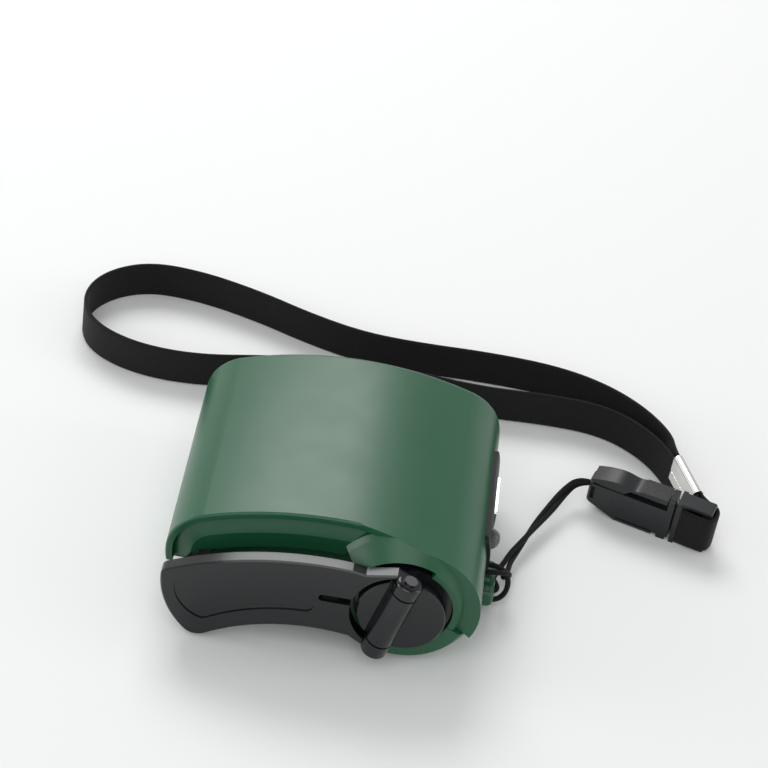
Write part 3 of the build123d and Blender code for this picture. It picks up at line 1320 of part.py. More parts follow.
def main():
    """Build, move to the middle of the footprint and write every piece."""
    os.makedirs("parts", exist_ok=True)
    pieces = parts()
    rigid = Compound([shape for name, shape in pieces.items() if name not in CORD_NODES])
    box = rigid.bounding_box()
    shift = Pos(-(box.min.X + box.max.X) / 2, -(box.min.Y + box.max.Y) / 2, -box.min.Z)
    for name, shape in pieces.items():
        export_step(shift * shape, f"parts/{name}.step")
    print("moved by", tuple(round(v, 4) for v in shift.position))


if __name__ == "__main__":
    main()
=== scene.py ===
# %% [markdown]
# # Dressing a hand crank phone charger
# The frame holds every rigid piece of the charger. This notebook gives those pieces their finishes,
# models the cord and the woven strap, and sets up a plain studio. Blender works in metres, in the
# frame's own axes: X towards the socket end, Y away from the crank, Z up. Route points and small sizes
# are written in millimetres and brought to metres with MM.

# %% Load the frame
import math

import bpy
from mathutils import Matrix, Vector


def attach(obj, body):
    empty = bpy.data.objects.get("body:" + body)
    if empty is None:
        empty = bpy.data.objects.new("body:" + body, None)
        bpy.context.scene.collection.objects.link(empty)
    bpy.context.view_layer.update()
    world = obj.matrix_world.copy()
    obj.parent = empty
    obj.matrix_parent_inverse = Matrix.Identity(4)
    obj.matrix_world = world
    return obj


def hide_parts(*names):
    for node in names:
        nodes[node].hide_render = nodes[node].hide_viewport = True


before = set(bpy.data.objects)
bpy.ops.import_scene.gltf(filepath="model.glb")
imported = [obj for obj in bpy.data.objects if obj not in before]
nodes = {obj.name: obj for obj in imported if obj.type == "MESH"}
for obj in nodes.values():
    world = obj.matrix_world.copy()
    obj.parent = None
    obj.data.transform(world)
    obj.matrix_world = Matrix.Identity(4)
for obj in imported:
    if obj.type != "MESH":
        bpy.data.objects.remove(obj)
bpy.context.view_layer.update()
MM = 0.001
print("nodes loaded:", len(nodes))

# %% [markdown]
# Route points are measured from the housing: X from its middle, Y from its front rim, Z from the
# floor. The frame's origin is the middle of the whole footprint, so every route point moves by the
# same two numbers.

# %% Route points to frame points
SHIFT_X = -1.7
SHIFT_Y = -22.7


def in_frame(x, y, z):
    """A route point in millimetres, as a point of the frame in metres."""
    return Vector(((x + SHIFT_X) * MM, (y + SHIFT_Y) * MM, z * MM))


def select_only(obj):
    """Make one piece the selected and active one."""
    bpy.ops.object.select_all(action="DESELECT")
    obj.select_set(True)
    bpy.context.view_layer.objects.active = obj


def smooth_by_angle(obj, degrees):
    """Smooth shading that keeps edges sharper than this angle crisp."""
    select_only(obj)
    bpy.ops.object.shade_smooth_by_angle(angle=math.radians(degrees))


RIGID_EDGE = 28
for part in nodes.values():
    smooth_by_angle(part, RIGID_EDGE)
print("smoothed the rigid pieces")

# %% [markdown]
# ## Camera
# The photograph looks down on the charger at about 39 degrees with a long lens, and the charger lies
# turned a little clockwise in it. The camera is placed from those three facts: height angle, turn and
# focal length.

# %% The camera
LOOK_DOWN = math.radians(39.0)
PICTURE_TURN = math.radians(9.7)
LENS = 112.5
SENSOR_WIDTH = 36.0
CAMERA_AT = in_frame(6.22, -390.35, 390.71)

forward = Vector((0.0, math.cos(LOOK_DOWN), -math.sin(LOOK_DOWN)))
level = Vector((1.0, 0.0, 0.0))
upward = level.cross(forward)
picture_right = level * math.cos(PICTURE_TURN) + upward * math.sin(PICTURE_TURN)
picture_up = upward * math.cos(PICTURE_TURN) - level * math.sin(PICTURE_TURN)
bpy.ops.object.camera_add(location=CAMERA_AT)
camera = bpy.context.object
camera.name = "studio_camera"
camera.data.lens = LENS
camera.data.sensor_width = SENSOR_WIDTH
camera.data.clip_start = 0.01
camera.data.clip_end = 10.0
turn = Matrix((picture_right, picture_up, -forward)).transposed()
camera.matrix_world = Matrix.Translation(CAMERA_AT) @ turn.to_4x4()
bpy.context.scene.camera = camera
print("camera at", [round(v, 4) for v in CAMERA_AT])

# %% [markdown]
# ## Studio
# A pale sheet under the charger catches its soft shadow. The key is a softbox above and behind, whose
# highlight lies along the dome. A narrow strip at the right draws the bright line down the housing's
# shoulder, and two more boxes fill in from the front and the left.


# %% Floor
def new_material(name):
    """A fresh material, its node tree and its Principled BSDF."""
    material = bpy.data.materials.new(name)
    material.use_nodes = True
    tree = material.node_tree
    shader = tree.nodes["Principled BSDF"]
    return material, tree, shader


bpy.ops.mesh.primitive_plane_add(size=6.0, location=(0, 0, 0))
floor = bpy.context.object
floor.name = "paper_floor"
paper, _, paper_shader = new_material("paper")
paper_shader.inputs["Base Color"].default_value = (0.9, 0.91, 0.905, 1)
paper_shader.inputs["Roughness"].default_value = 0.75
paper_shader.inputs["Specular IOR Level"].default_value = 0.2
floor.data.materials.append(paper)
print("floor:", floor.name)


# %% Lights
def softbox(name, at, aim, size, power):
    """A rectangular area lamp that looks at a point."""
    bpy.ops.object.light_add(type="AREA", location=at)
    lamp = bpy.context.object
    lamp.name = name
    lamp.data.shape = "RECTANGLE"
    lamp.data.size = size[0]
    lamp.data.size_y = size[1]
    lamp.data.energy = power
    way = Vector(aim) - Vector(at)
    lamp.rotation_euler = way.to_track_quat("-Z", "Y").to_euler()


HOUSING_MIDDLE = (0, 0, 0.02)
PANEL_SIDE = (0.03, 0, 0.02)
# Name, place, aim, width and height of the box in metres, power in watts. The key stands a little to
# the left, so that its highlight lies along the middle of the dome.
LAMPS = [
    ("key", (-0.2, 0.6, 0.7), HOUSING_MIDDLE, (0.62, 0.42), 4.3),
    ("right_strip", (0.75, 0.05, 0.2), PANEL_SIDE, (0.12, 0.8), 0.9),
    ("front_fill", (-0.1, -0.8, 0.9), HOUSING_MIDDLE, (1.0, 0.8), 4.5),
    ("left_panel", (-0.75, -0.1, 0.22), HOUSING_MIDDLE, (0.3, 0.4), 1.3),
]
for lamp_settings in LAMPS:
    softbox(*lamp_settings)
print("lamps:", len(LAMPS))

# %% [markdown]
# The world does two things. It lights the charger evenly at a low strength. What the eye, a mirror or
# clear plastic sees of it is white at the horizon and dark overhead, like a high dim ceiling.

# %% World
EVEN_LIGHT = 0.4
WHITE_BELOW = 0.3
DARK_ABOVE = 0.9
CEILING = 0.12
# A Mix node has its two plain numbers and its two colours at these inputs.
NUMBER_A = 2
NUMBER_B = 3
COLOUR_A = 6
COLOUR_B = 7
COLOUR_OUT = 2

world = bpy.data.worlds.new("studio_world")
bpy.context.scene.world = world
world.use_nodes = True
world_tree = world.node_tree
background = world_tree.nodes["Background"]
background.inputs["Color"].default_value = (1.0, 1.0, 1.0, 1)
light_path = world_tree.nodes.new("ShaderNodeLightPath")
is_seen = light_path.outputs["Is Camera Ray"]
for ray in ("Is Glossy Ray", "Is Transmission Ray"):
    either = world_tree.nodes.new("ShaderNodeMath")
    either.operation = "MAXIMUM"
    world_tree.links.new(is_seen, either.inputs[0])
    world_tree.links.new(light_path.outputs[ray], either.inputs[1])
    is_seen = either.outputs[0]
sky_way = world_tree.nodes.new("ShaderNodeTexCoord")
sky_split = world_tree.nodes.new("ShaderNodeSeparateXYZ")
world_tree.links.new(sky_way.outputs["Generated"], sky_split.inputs[0])
backdrop = world_tree.nodes.new("ShaderNodeMapRange")
backdrop.inputs["From Min"].default_value = WHITE_BELOW
backdrop.inputs["From Max"].default_value = DARK_ABOVE
backdrop.inputs["To Min"].default_value = 1.0
backdrop.inputs["To Max"].default_value = CEILING
world_tree.links.new(sky_split.outputs["Z"], backdrop.inputs["Value"])
strength = world_tree.nodes.new("ShaderNodeMix")
strength.inputs[NUMBER_A].default_value = EVEN_LIGHT
world_tree.links.new(is_seen, strength.inputs[0])
world_tree.links.new(backdrop.outputs["Result"], strength.inputs[NUMBER_B])
world_tree.links.new(strength.outputs[0], background.inputs["Strength"])
bpy.context.scene.view_settings.view_transform = "Standard"
print("studio ready")

# %% [markdown]
# ## Shared finishes
# Two effects come back in many materials: the fine orange-peel of moulded plastic with its faint
# handling marks, and the drawn lines of turned metal. Each is a node group with named inputs, so
# every material can set its own scale and gloss.


# %% Moulded grain
def group_sockets(group, inputs, outputs):
    """Name a shader group's sockets: (name, value) going in and (name, kind) coming out."""
    for name, value in inputs:
        kind = "NodeSocketColor" if isinstance(value, tuple) else "NodeSocketFloat"
        made = group.interface.new_socket(name, in_out="INPUT", socket_type=kind)
        made.default_value = value
    for name, kind in outputs:
        group.interface.new_socket(name, in_out="OUTPUT", socket_type=kind)


def moulded_grain_group():
    """Fine grain and smudges on Object coordinates: gives a colour, a roughness and a height."""
    group = bpy.data.node_groups.new("moulded_grain", "ShaderNodeTree")
    group_sockets(
        group,
        [
            ("Colour", (0.1, 0.1, 0.1, 1.0)),
            ("Dust Colour", (0.3, 0.3, 0.3, 1.0)),
            ("Grain Scale", 4000.0),
            ("Smudge Scale", 70.0),
            ("Dust", 0.05),
            ("Rough Low", 0.3),
            ("Rough High", 0.4),
        ],
        [("Colour", "NodeSocketColor"), ("Roughness", "NodeSocketFloat"), ("Height", "NodeSocketFloat")],
    )
    add = group.nodes.new
    link = group.links.new
    given = add("NodeGroupInput")
    out = add("NodeGroupOutput")
    place = add("ShaderNodeTexCoord")
    grain = add("ShaderNodeTexNoise")
    grain.inputs["Detail"].default_value = 2.0
    link(place.outputs["Object"], grain.inputs["Vector"])
    link(given.outputs["Grain Scale"], grain.inputs["Scale"])
    smudge = add("ShaderNodeTexNoise")
    smudge.inputs["Detail"].default_value = 5.0
    smudge.inputs["Roughness"].default_value = 0.6
    link(place.outputs["Object"], smudge.inputs["Vector"])
    link(given.outputs["Smudge Scale"], smudge.inputs["Scale"])
    rough = add("ShaderNodeMapRange")
    rough.inputs["From Min"].default_value = 0.35
    rough.inputs["From Max"].default_value = 0.65
    link(smudge.outputs["Fac"], rough.inputs["Value"])
    link(given.outputs["Rough Low"], rough.inputs["To Min"])
    link(given.outputs["Rough High"], rough.inputs["To Max"])
    specks = add("ShaderNodeMapRange")
    specks.inputs["From Min"].default_value = 0.55
    specks.inputs["From Max"].default_value = 0.8
    link(smudge.outputs["Fac"], specks.inputs["Value"])
    amount = add("ShaderNodeMath")
    amount.operation = "MULTIPLY"
    link(specks.outputs["Result"], amount.inputs[0])
    link(given.outputs["Dust"], amount.inputs[1])
    mix = add("ShaderNodeMix")
    mix.data_type = "RGBA"
    link(amount.outputs[0], mix.inputs[0])
    link(given.outputs["Colour"], mix.inputs[COLOUR_A])
    link(given.outputs["Dust Colour"], mix.inputs[COLOUR_B])
    link(mix.outputs[COLOUR_OUT], out.inputs["Colour"])
    link(rough.outputs["Result"], out.inputs["Roughness"])
    link(grain.outputs["Fac"], out.inputs["Height"])
    return group


MOULDED_GRAIN = moulded_grain_group()
print("shared group:", MOULDED_GRAIN.name)


def plastic(name, colour, dust, rough, grain_scale, bump, specular=0.5):
    """A moulded plastic finish on the shared grain; rough is its range, bump its depth in mm."""
    material, tree, shader = new_material(name)
    grain = tree.nodes.new("ShaderNodeGroup")
    grain.node_tree = MOULDED_GRAIN
    grain.inputs["Colour"].default_value = (*colour, 1.0)
    grain.inputs["Dust Colour"].default_value = (*dust, 1.0)
    grain.inputs["Grain Scale"].default_value = grain_scale
    grain.inputs["Rough Low"].default_value = rough[0]
    grain.inputs["Rough High"].default_value = rough[1]
    relief = tree.nodes.new("ShaderNodeBump")
    relief.inputs["Strength"].default_value = 0.5
    relief.inputs["Distance"].default_value = bump * MM
    tree.links.new(grain.outputs["Colour"], shader.inputs["Base Color"])
    tree.links.new(grain.outputs["Roughness"], shader.inputs["Roughness"])
    tree.links.new(grain.outputs["Height"], relief.inputs["Height"])
    tree.links.new(relief.outputs["Normal"], shader.inputs["Normal"])
    shader.inputs["Specular IOR Level"].default_value = specular
    return material


# %% Plastics of the charger
GREEN = (0.0105, 0.09, 0.038)
GREEN_DUST = (0.05, 0.14, 0.09)
DARK_DUST = (0.03, 0.03, 0.03)
green_shell = plastic("green_shell", GREEN, GREEN_DUST, (0.3, 0.36), 5000.0, 0.006)
black_satin = plastic(
    "black_satin", (0.009, 0.010, 0.012), (0.04, 0.04, 0.04), (0.26, 0.33), 6000.0, 0.01, specular=0.45
)
black_panel = plastic(
    "black_panel", (0.006, 0.007, 0.008), DARK_DUST, (0.42, 0.5), 5000.0, 0.01, specular=0.2
)
black_gloss = plastic("black_gloss", (0.006, 0.007, 0.0085), DARK_DUST, (0.13, 0.18), 6000.0, 0.004)
natural_nylon = plastic("natural_nylon", (0.72, 0.71, 0.66), (0.5, 0.5, 0.46), (0.4, 0.5), 3000.0, 0.02)
board_green = plastic("board_green", (0.02, 0.12, 0.045), (0.1, 0.2, 0.1), (0.3, 0.4), 2500.0, 0.01)
chip_black = plastic("chip_black", (0.02, 0.02, 0.02), (0.08, 0.08, 0.08), (0.5, 0.6), 5000.0, 0.02)
capacitor_skin = plastic("capacitor_skin", (0.02, 0.03, 0.12), (0.1, 0.1, 0.2), (0.25, 0.35), 3000.0, 0.01)
wire_skin = plastic("wire_skin", (0.35, 0.02, 0.015), (0.4, 0.2, 0.2), (0.3, 0.4), 3000.0, 0.01)
print("plastics:", [m.name for m in bpy.data.materials])


# %% [markdown]
# Metal pieces were turned or drawn, which leaves very fine lines. The shared group stretches a noise
# along one axis, and each metal sets its own spacing, colour and gloss.


# %% Drawn metal
def drawn_lines_group():
    """Fine parallel lines on Object coordinates."""
    group = bpy.data.node_groups.new("drawn_lines", "ShaderNodeTree")
    group_sockets(
        group,
        [("Across", 3000.0), ("Along", 120.0), ("Rough Low", 0.2), ("Rough High", 0.35)],
        [("Roughness", "NodeSocketFloat"), ("Height", "NodeSocketFloat")],
    )
    add = group.nodes.new
    link = group.links.new
    given = add("NodeGroupInput")
    out = add("NodeGroupOutput")
    place = add("ShaderNodeTexCoord")
    split = add("ShaderNodeSeparateXYZ")
    join = add("ShaderNodeCombineXYZ")
    link(place.outputs["Object"], split.inputs[0])
    for axis, scale in (("X", "Across"), ("Y", "Along"), ("Z", "Across")):
        times = add("ShaderNodeMath")
        times.operation = "MULTIPLY"
        link(split.outputs[axis], times.inputs[0])
        link(given.outputs[scale], times.inputs[1])
        link(times.outputs[0], join.inputs[axis])
    lines = add("ShaderNodeTexNoise")
    lines.inputs["Scale"].default_value = 1.0
    lines.inputs["Detail"].default_value = 3.0
    link(join.outputs[0], lines.inputs["Vector"])
    rough = add("ShaderNodeMapRange")
    link(lines.outputs["Fac"], rough.inputs["Value"])
    link(given.outputs["Rough Low"], rough.inputs["To Min"])
    link(given.outputs["Rough High"], rough.inputs["To Max"])
    link(rough.outputs["Result"], out.inputs["Roughness"])
    link(lines.outputs["Fac"], out.inputs["Height"])
    return group


DRAWN_LINES = drawn_lines_group()


def metal(name, colour, rough, across=3000.0, along=120.0, bump=0.006):
    """A metal finish with drawn lines."""
    material, tree, shader = new_material(name)
    lines = tree.nodes.new("ShaderNodeGroup")
    lines.node_tree = DRAWN_LINES
    lines.inputs["Across"].default_value = across
    lines.inputs["Along"].default_value = along
    lines.inputs["Rough Low"].default_value = rough[0]
    lines.inputs["Rough High"].default_value = rough[1]
    relief = tree.nodes.new("ShaderNodeBump")
    relief.inputs["Strength"].default_value = 0.4
    relief.inputs["Distance"].default_value = bump * MM
    tree.links.new(lines.outputs["Roughness"], shader.inputs["Roughness"])
    tree.links.new(lines.outputs["Height"], relief.inputs["Height"])
    tree.links.new(relief.outputs["Normal"], shader.inputs["Normal"])
    shader.inputs["Base Color"].default_value = (*colour, 1.0)
    shader.inputs["Metallic"].default_value = 1.0
    return material


pin_steel = metal("pin_steel", (0.62, 0.62, 0.63), (0.16, 0.26))
dark_pin = metal("dark_pin", (0.2, 0.2, 0.21), (0.14, 0.22))
can_steel = metal("can_steel", (0.55, 0.55, 0.56), (0.3, 0.42))
nickel_plate = metal("nickel_plate", (0.86, 0.86, 0.84), (0.12, 0.2), 2000.0, 400.0)
warm_brass = metal("warm_brass", (0.75, 0.56, 0.25), (0.2, 0.3))
coil_copper = metal("coil_copper", (0.72, 0.33, 0.16), (0.3, 0.4), 9000.0, 9000.0, 0.03)
magnet_grey = metal("magnet_grey", (0.12, 0.12, 0.13), (0.4, 0.5))
print("materials with the metals:", len(bpy.data.materials))

# %% [markdown]
# The lamp is clear epoxy: light passes through it, so it keeps a plain transmission value. A faint
# noise varies its gloss.

# %% Clear lamp
lamp_clear, lamp_tree, lamp_shader = new_material("lamp_clear")
lamp_shader.inputs["Base Color"].default_value = (0.95, 0.97, 0.97, 1)
lamp_shader.inputs["Transmission Weight"].default_value = 0.95
lamp_shader.inputs["IOR"].default_value = 1.5
lamp_haze = lamp_tree.nodes.new("ShaderNodeTexNoise")
lamp_haze.inputs["Scale"].default_value = 300.0
lamp_rough = lamp_tree.nodes.new("ShaderNodeMapRange")
lamp_rough.inputs["To Min"].default_value = 0.05
lamp_rough.inputs["To Max"].default_value = 0.14
lamp_place = lamp_tree.nodes.new("ShaderNodeTexCoord")
lamp_tree.links.new(lamp_place.outputs["Object"], lamp_haze.inputs["Vector"])
lamp_tree.links.new(lamp_haze.outputs["Fac"], lamp_rough.inputs["Value"])
lamp_tree.links.new(lamp_rough.outputs["Result"], lamp_shader.inputs["Roughness"])
print("clear material:", lamp_clear.name)

# %% Give each rigid piece its finish
FINISHES = {
    "upper_shell": green_shell,
    "lower_shell": green_shell,
    "end_panel": black_panel,
    "usb_shell": nickel_plate,
    "usb_tongue": natural_nylon,
    "usb_contacts": warm_brass,
    "led_lens": lamp_clear,
    "led_leads": pin_steel,
    "hinge_pin": dark_pin,
    "crank_hub": black_gloss,
    "crank_arm": black_gloss,
    "knob": black_satin,
    "knob_screw": pin_steel,
    "crank_gear": natural_nylon,
    "compound_gear_1": natural_nylon,
    "compound_gear_2": natural_nylon,
    "rotor_pinion": warm_brass,
    "crank_shaft": pin_steel,
    "shaft_clip": pin_steel,
    "crank_bush": warm_brass,
    "front_plate": natural_nylon,
    "rear_plate": natural_nylon,
    "gear_pins": pin_steel,
    "spacers": warm_brass,
    "gearbox_screws": pin_steel,
    "generator_can": can_steel,
    "generator_cap": black_satin,
    "rotor_shaft": pin_steel,
    "rotor_magnet": magnet_grey,
    "stator_core": can_steel,
    "stator_coils": coil_copper,
    "circuit_board": board_green,
    "board_screws": pin_steel,
    "capacitor": capacitor_skin,
    "rectifier_diodes": chip_black,
    "regulator": chip_black,
    "inductor": coil_copper,
    "generator_wires": wire_skin,
    "housing_screws": pin_steel,
    "buckle_socket": black_satin,
    "buckle_latch": black_satin,
    "latch_pin": pin_steel,
    "buckle_insert": black_satin,
    "crimp": nickel_plate,
}


def paint(obj, material):
    """One material over a whole piece."""
    obj.data.materials.clear()
    obj.data.materials.append(material)


for node_name, finish in FINISHES.items():
    paint(nodes[node_name], finish)
print("painted", len(FINISHES), "pieces")

# %% [markdown]
# ## Slope under the rim
# Under the rim the front of the housing leans back, then stands upright behind the arm. The slope
# follows the outline's three arcs: roof, left corner and left foot. One section is placed at every
# station along them and skinned, and a round cutter ends the piece where the crank's ring begins.


# %% Skin helpers
def skin_rings(name, rings, uvs=None):
    """A closed mesh over equal rings of points, capped at both ends."""
    count = len(rings[0])
    faces = [tuple(reversed(range(count)))]
    for i in range(len(rings) - 1):
        for k in range(count):
            n = (k + 1) % count
            faces.append((i * count + k, i * count + n, (i + 1) * count + n, (i + 1) * count + k))
    faces.append(tuple((len(rings) - 1) * count + k for k in range(count)))
    mesh = bpy.data.meshes.new(name)
    mesh.from_pydata([at for ring in rings for at in ring], [], faces)
    if uvs:
        layer = mesh.uv_layers.new(name="UVMap")
        for face in mesh.polygons:
            for loop, corner in zip(face.loop_indices, face.vertices):
                layer.data[loop].uv = uvs[corner // count][corner % count]
    obj = bpy.data.objects.new(name, mesh)
    bpy.context.collection.objects.link(obj)
    select_only(obj)
    bpy.ops.object.mode_set(mode="EDIT")
    bpy.ops.mesh.select_all(action="SELECT")
    bpy.ops.mesh.normals_make_consistent(inside=False)
    bpy.ops.object.mode_set(mode="OBJECT")
    return obj


# %% Slope
# Each arc of the housing's outline: centre, radius, first and last angle in degrees, number of stations.
OUTLINE_ARCS = [
    ((1.459, -47.478), 82.0, 81.9, 111.3, 40),
    ((-23.987, 17.734), 12.0, 111.3, 176.0, 24),
    ((-18.5, 17.35), 17.5, 176.0, 190.0, 6),
]
# Each corner of the section: how far in from the outline, and how far behind the front rim.
SLOPE_PROFILE = [(1.6, 1.6), (5.8, 0.0), (10.0, 0.0), (10.0, 1.75), (1.6, 1.75)]
HUB = (18.5, 17.35)
RING_OUTER_R = 16.3
CUTTER_LENGTH = 20
SLOPE_EDGE = 15


def arc_point(centre, radius, turned, y):
    """A point of the frame on an arc in the front's plane, at depth y."""
    return in_frame(centre[0] + radius * math.cos(turned), y, centre[1] + radius * math.sin(turned))


slope_rings = []
for centre, radius, begin, end, steps in OUTLINE_ARCS:
    for step in range(steps):
        turned = math.radians(begin + (end - begin) * (step + 0.5) / steps)
        slope_rings.append([arc_point(centre, radius - inset, turned, y) for inset, y in SLOPE_PROFILE])
slope = skin_rings("front_slope", slope_rings)
bpy.ops.mesh.primitive_cylinder_add(
    vertices=128, radius=RING_OUTER_R * MM, depth=CUTTER_LENGTH * MM, location=in_frame(HUB[0], 0, HUB[1]),
    rotation=(math.pi / 2, 0, 0),
)
cutter = bpy.context.object
select_only(slope)
bpy.ops.object.modifier_add(type="BOOLEAN")
slope.modifiers[-1].operation = "DIFFERENCE"
slope.modifiers[-1].object = cutter
bpy.ops.object.modifier_apply(modifier=slope.modifiers[-1].name)
bpy.data.objects.remove(cutter)
smooth_by_angle(slope, SLOPE_EDGE)
paint(slope, green_shell)
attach(slope, "housing")
print("slope faces", len(slope.data.polygons))

# %% [markdown]
# ## Woven strap
# The strap is flat black webbing, 10 mm wide and 1 mm thick, standing on its edge behind the charger.
# Its centre line is one smooth NURBS curve. A thin rounded section is carried along it, and UV
# coordinates run with the strap so that the weave follows every bend.

# %% Weave material
WEAVE_PITCH = 0.9 * MM
BRAID_PITCH = 0.7 * MM
WEAVE_DEPTH = 0.12 * MM
BRAID_DEPTH = 0.08 * MM
# The yarn's own colour; the weave paints its grooves darker than this as shade.
YARN_LIGHT = (0.011, 0.011, 0.012)


def weave_group():
    """Crossed diagonal ribs of webbing, from UV coordinates in metres; the grooves take a darker colour as
    painted shade.
    """
    group = bpy.data.node_groups.new("twill_weave", "ShaderNodeTree")
    group_sockets(
        group,
        [("Ribs", 1000.0), ("Painted Groove Shade", (0.002, 0.002, 0.0025, 1.0)), ("Light", (0.012, 0.012, 0.012, 1.0))],
        [("Colour", "NodeSocketColor"), ("Height", "NodeSocketFloat")],
    )
    add = group.nodes.new
    link = group.links.new
    given = add("NodeGroupInput")
    out = add("NodeGroupOutput")
    place = add("ShaderNodeUVMap")
    split = add("ShaderNodeSeparateXYZ")
    link(place.outputs["UV"], split.inputs[0])
    waves = []
    for lean in (1.0, -1.0):
        slant = add("ShaderNodeMath")
        slant.operation = "MULTIPLY_ADD"
        slant.inputs[1].default_value = lean
        link(split.outputs["Y"], slant.inputs[0])
        link(split.outputs["X"], slant.inputs[2])
        scaled = add("ShaderNodeMath")
        scaled.operation = "MULTIPLY"
        link(slant.outputs[0], scaled.inputs[0])
        link(given.outputs["Ribs"], scaled.inputs[1])
        wave = add("ShaderNodeMath")
        wave.operation = "SINE"
        link(scaled.outputs[0], wave.inputs[0])
        waves.append(wave)
    cross = add("ShaderNodeMath")
    cross.operation = "MULTIPLY"
    link(waves[0].outputs[0], cross.inputs[0])
    link(waves[1].outputs[0], cross.inputs[1])
    fuzz = add("ShaderNodeTexNoise")
    fuzz.inputs["Scale"].default_value = 2500.0
    link(place.outputs["UV"], fuzz.inputs["Vector"])
    height = add("ShaderNodeMath")
    height.operation = "MULTIPLY_ADD"
    height.inputs[1].default_value = 0.5
    link(cross.outputs[0], height.inputs[0])
    link(fuzz.outputs["Fac"], height.inputs[2])
    # Painted shade: the colour follows the relief, darker in the grooves and the yarn's own colour on the
    # crests, with some random fuzz.
    mix = add("ShaderNodeMix")
    mix.data_type = "RGBA"
    mix.clamp_factor = True
    link(height.outputs[0], mix.inputs[0])
    link(given.outputs["Painted Groove Shade"], mix.inputs[COLOUR_A])
    link(given.outputs["Light"], mix.inputs[COLOUR_B])
    link(mix.outputs[COLOUR_OUT], out.inputs["Colour"])
    link(height.outputs[0], out.inputs["Height"])
    return group


TWILL = weave_group()


def cloth(name, pitch, depth):
    """A woven finish with ribs at this pitch: twill colour with painted shade in its grooves, relief and a
    soft sheen.
    """
    material, tree, shader = new_material(name)
    twill = tree.nodes.new("ShaderNodeGroup")
    twill.node_tree = TWILL
    twill.inputs["Ribs"].default_value = 2 * math.pi / pitch
    twill.inputs["Light"].default_value = (*YARN_LIGHT, 1.0)
    relief = tree.nodes.new("ShaderNodeBump")
    relief.inputs["Strength"].default_value = 0.7
    relief.inputs["Distance"].default_value = depth
    tree.links.new(twill.outputs["Colour"], shader.inputs["Base Color"])
    tree.links.new(twill.outputs["Height"], relief.inputs["Height"])
    tree.links.new(relief.outputs["Normal"], shader.inputs["Normal"])
    shader.inputs["Roughness"].default_value = 0.82
    shader.inputs["Sheen Weight"].default_value = 0.06
    shader.inputs["Sheen Roughness"].default_value = 0.4
    shader.inputs["Specular IOR Level"].default_value = 0.25
    return material


webbing = cloth("webbing", WEAVE_PITCH, WEAVE_DEPTH)
cord_braid = cloth("cord_braid", BRAID_PITCH, BRAID_DEPTH)
print("woven materials:", webbing.name, cord_braid.name)


# %% Route helpers
SWEPT_EDGE = 50
BAND_ROWS = 10
SELVEDGE_STEPS = 5
CORD_SIDES = 12
UPRIGHT = Vector((0, 0, 1))


def smooth_line(name, points):
    """The points of one open NURBS curve drawn along the route's points."""
    curve = bpy.data.curves.new(name, "CURVE")
    curve.dimensions = "3D"
    curve.resolution_u = 16
    spline = curve.splines.new("NURBS")
    spline.points.add(len(points) - 1)
    for at, control in zip(points, spline.points):
        control.co = (*at, 1.0)
    spline.order_u = 3
    spline.use_endpoint_u = True
    route = bpy.data.objects.new(name, curve)
    bpy.context.collection.objects.link(route)
    mesh = bpy.data.meshes.new_from_object(route)
    line = [v.co.copy() for v in mesh.vertices]
    bpy.data.meshes.remove(mesh)
    bpy.data.objects.remove(route)
    return line


def sweep_section(name, line, section, upright):
    """Carry a closed section, (sideways, up) pairs, along a line; UV runs in metres."""
    around = [0.0]
    for a, b in zip(section, section[1:]):
        around.append(around[-1] + math.hypot(b[0] - a[0], b[1] - a[1]))
    rings = []
    uvs = []
    walked = 0.0
    for i, at in enumerate(line):
        ahead = (line[min(i + 1, len(line) - 1)] - line[max(i - 1, 0)]).normalized()
        up = (upright - ahead * upright.dot(ahead)).normalized()
        side = ahead.cross(up)
        if i:
            walked += (at - line[i - 1]).length
        rings.append([at + side * s + up * u for s, u in section])
        uvs.append([(walked, way) for way in around])
    obj = skin_rings(name, rings, uvs)
    smooth_by_angle(obj, SWEPT_EDGE)
    return obj, walked


def band_section(width, thick):
    """A flat woven band's section: straight faces and rounded selvedges."""
    half = width / 2
    radius = thick / 2
    points = []
    for face in (1, -1):
        for i in range(BAND_ROWS + 1):
            across = -half + radius + (width - thick) * i / BAND_ROWS
            points.append((face * radius, face * across))
        for i in range(1, SELVEDGE_STEPS):
            turned = math.pi * i / SELVEDGE_STEPS
            across = half - radius + radius * math.sin(turned)
            points.append((face * radius * math.cos(turned), face * across))
    return points


# %% [markdown]
# The strap's two ends lie side by side in the metal clamp and stop at its middle, just short of the
# piece that goes round the bar. Their places there are worked out from the buckle's place and turn.

# %% Strap route
BUCKLE_AT = (60.6, 59.6)
BUCKLE_TURN = math.radians(-17.0)
CRIMP_START = (25.6, 5.2)
CRIMP_TURN = math.radians(128.9)
CRIMP_LENGTH = 13.2
STRAP_WIDTH = 10.0
STRAP_THICK = 1.0
STRAP_FOOT = 0.2
LAYER_SIDE = 0.56
STRAP_LEAD = 3.4
HALF_GAP = 0.1


def from_buckle(at):
    """A place in the buckle's own plan, as a route point in plan."""
    x = BUCKLE_AT[0] + at[0] * math.cos(BUCKLE_TURN) - at[1] * math.sin(BUCKLE_TURN)
    y = BUCKLE_AT[1] + at[0] * math.sin(BUCKLE_TURN) + at[1] * math.cos(BUCKLE_TURN)
    return (x, y)


def in_crimp(along, side):
    """A place in the clamp: distance from its near end and offset to one side."""
    x = CRIMP_START[0] + along * math.cos(CRIMP_TURN) - side * math.sin(CRIMP_TURN)
    y = CRIMP_START[1] + along * math.sin(CRIMP_TURN) + side * math.cos(CRIMP_TURN)
    return from_buckle((x, y))


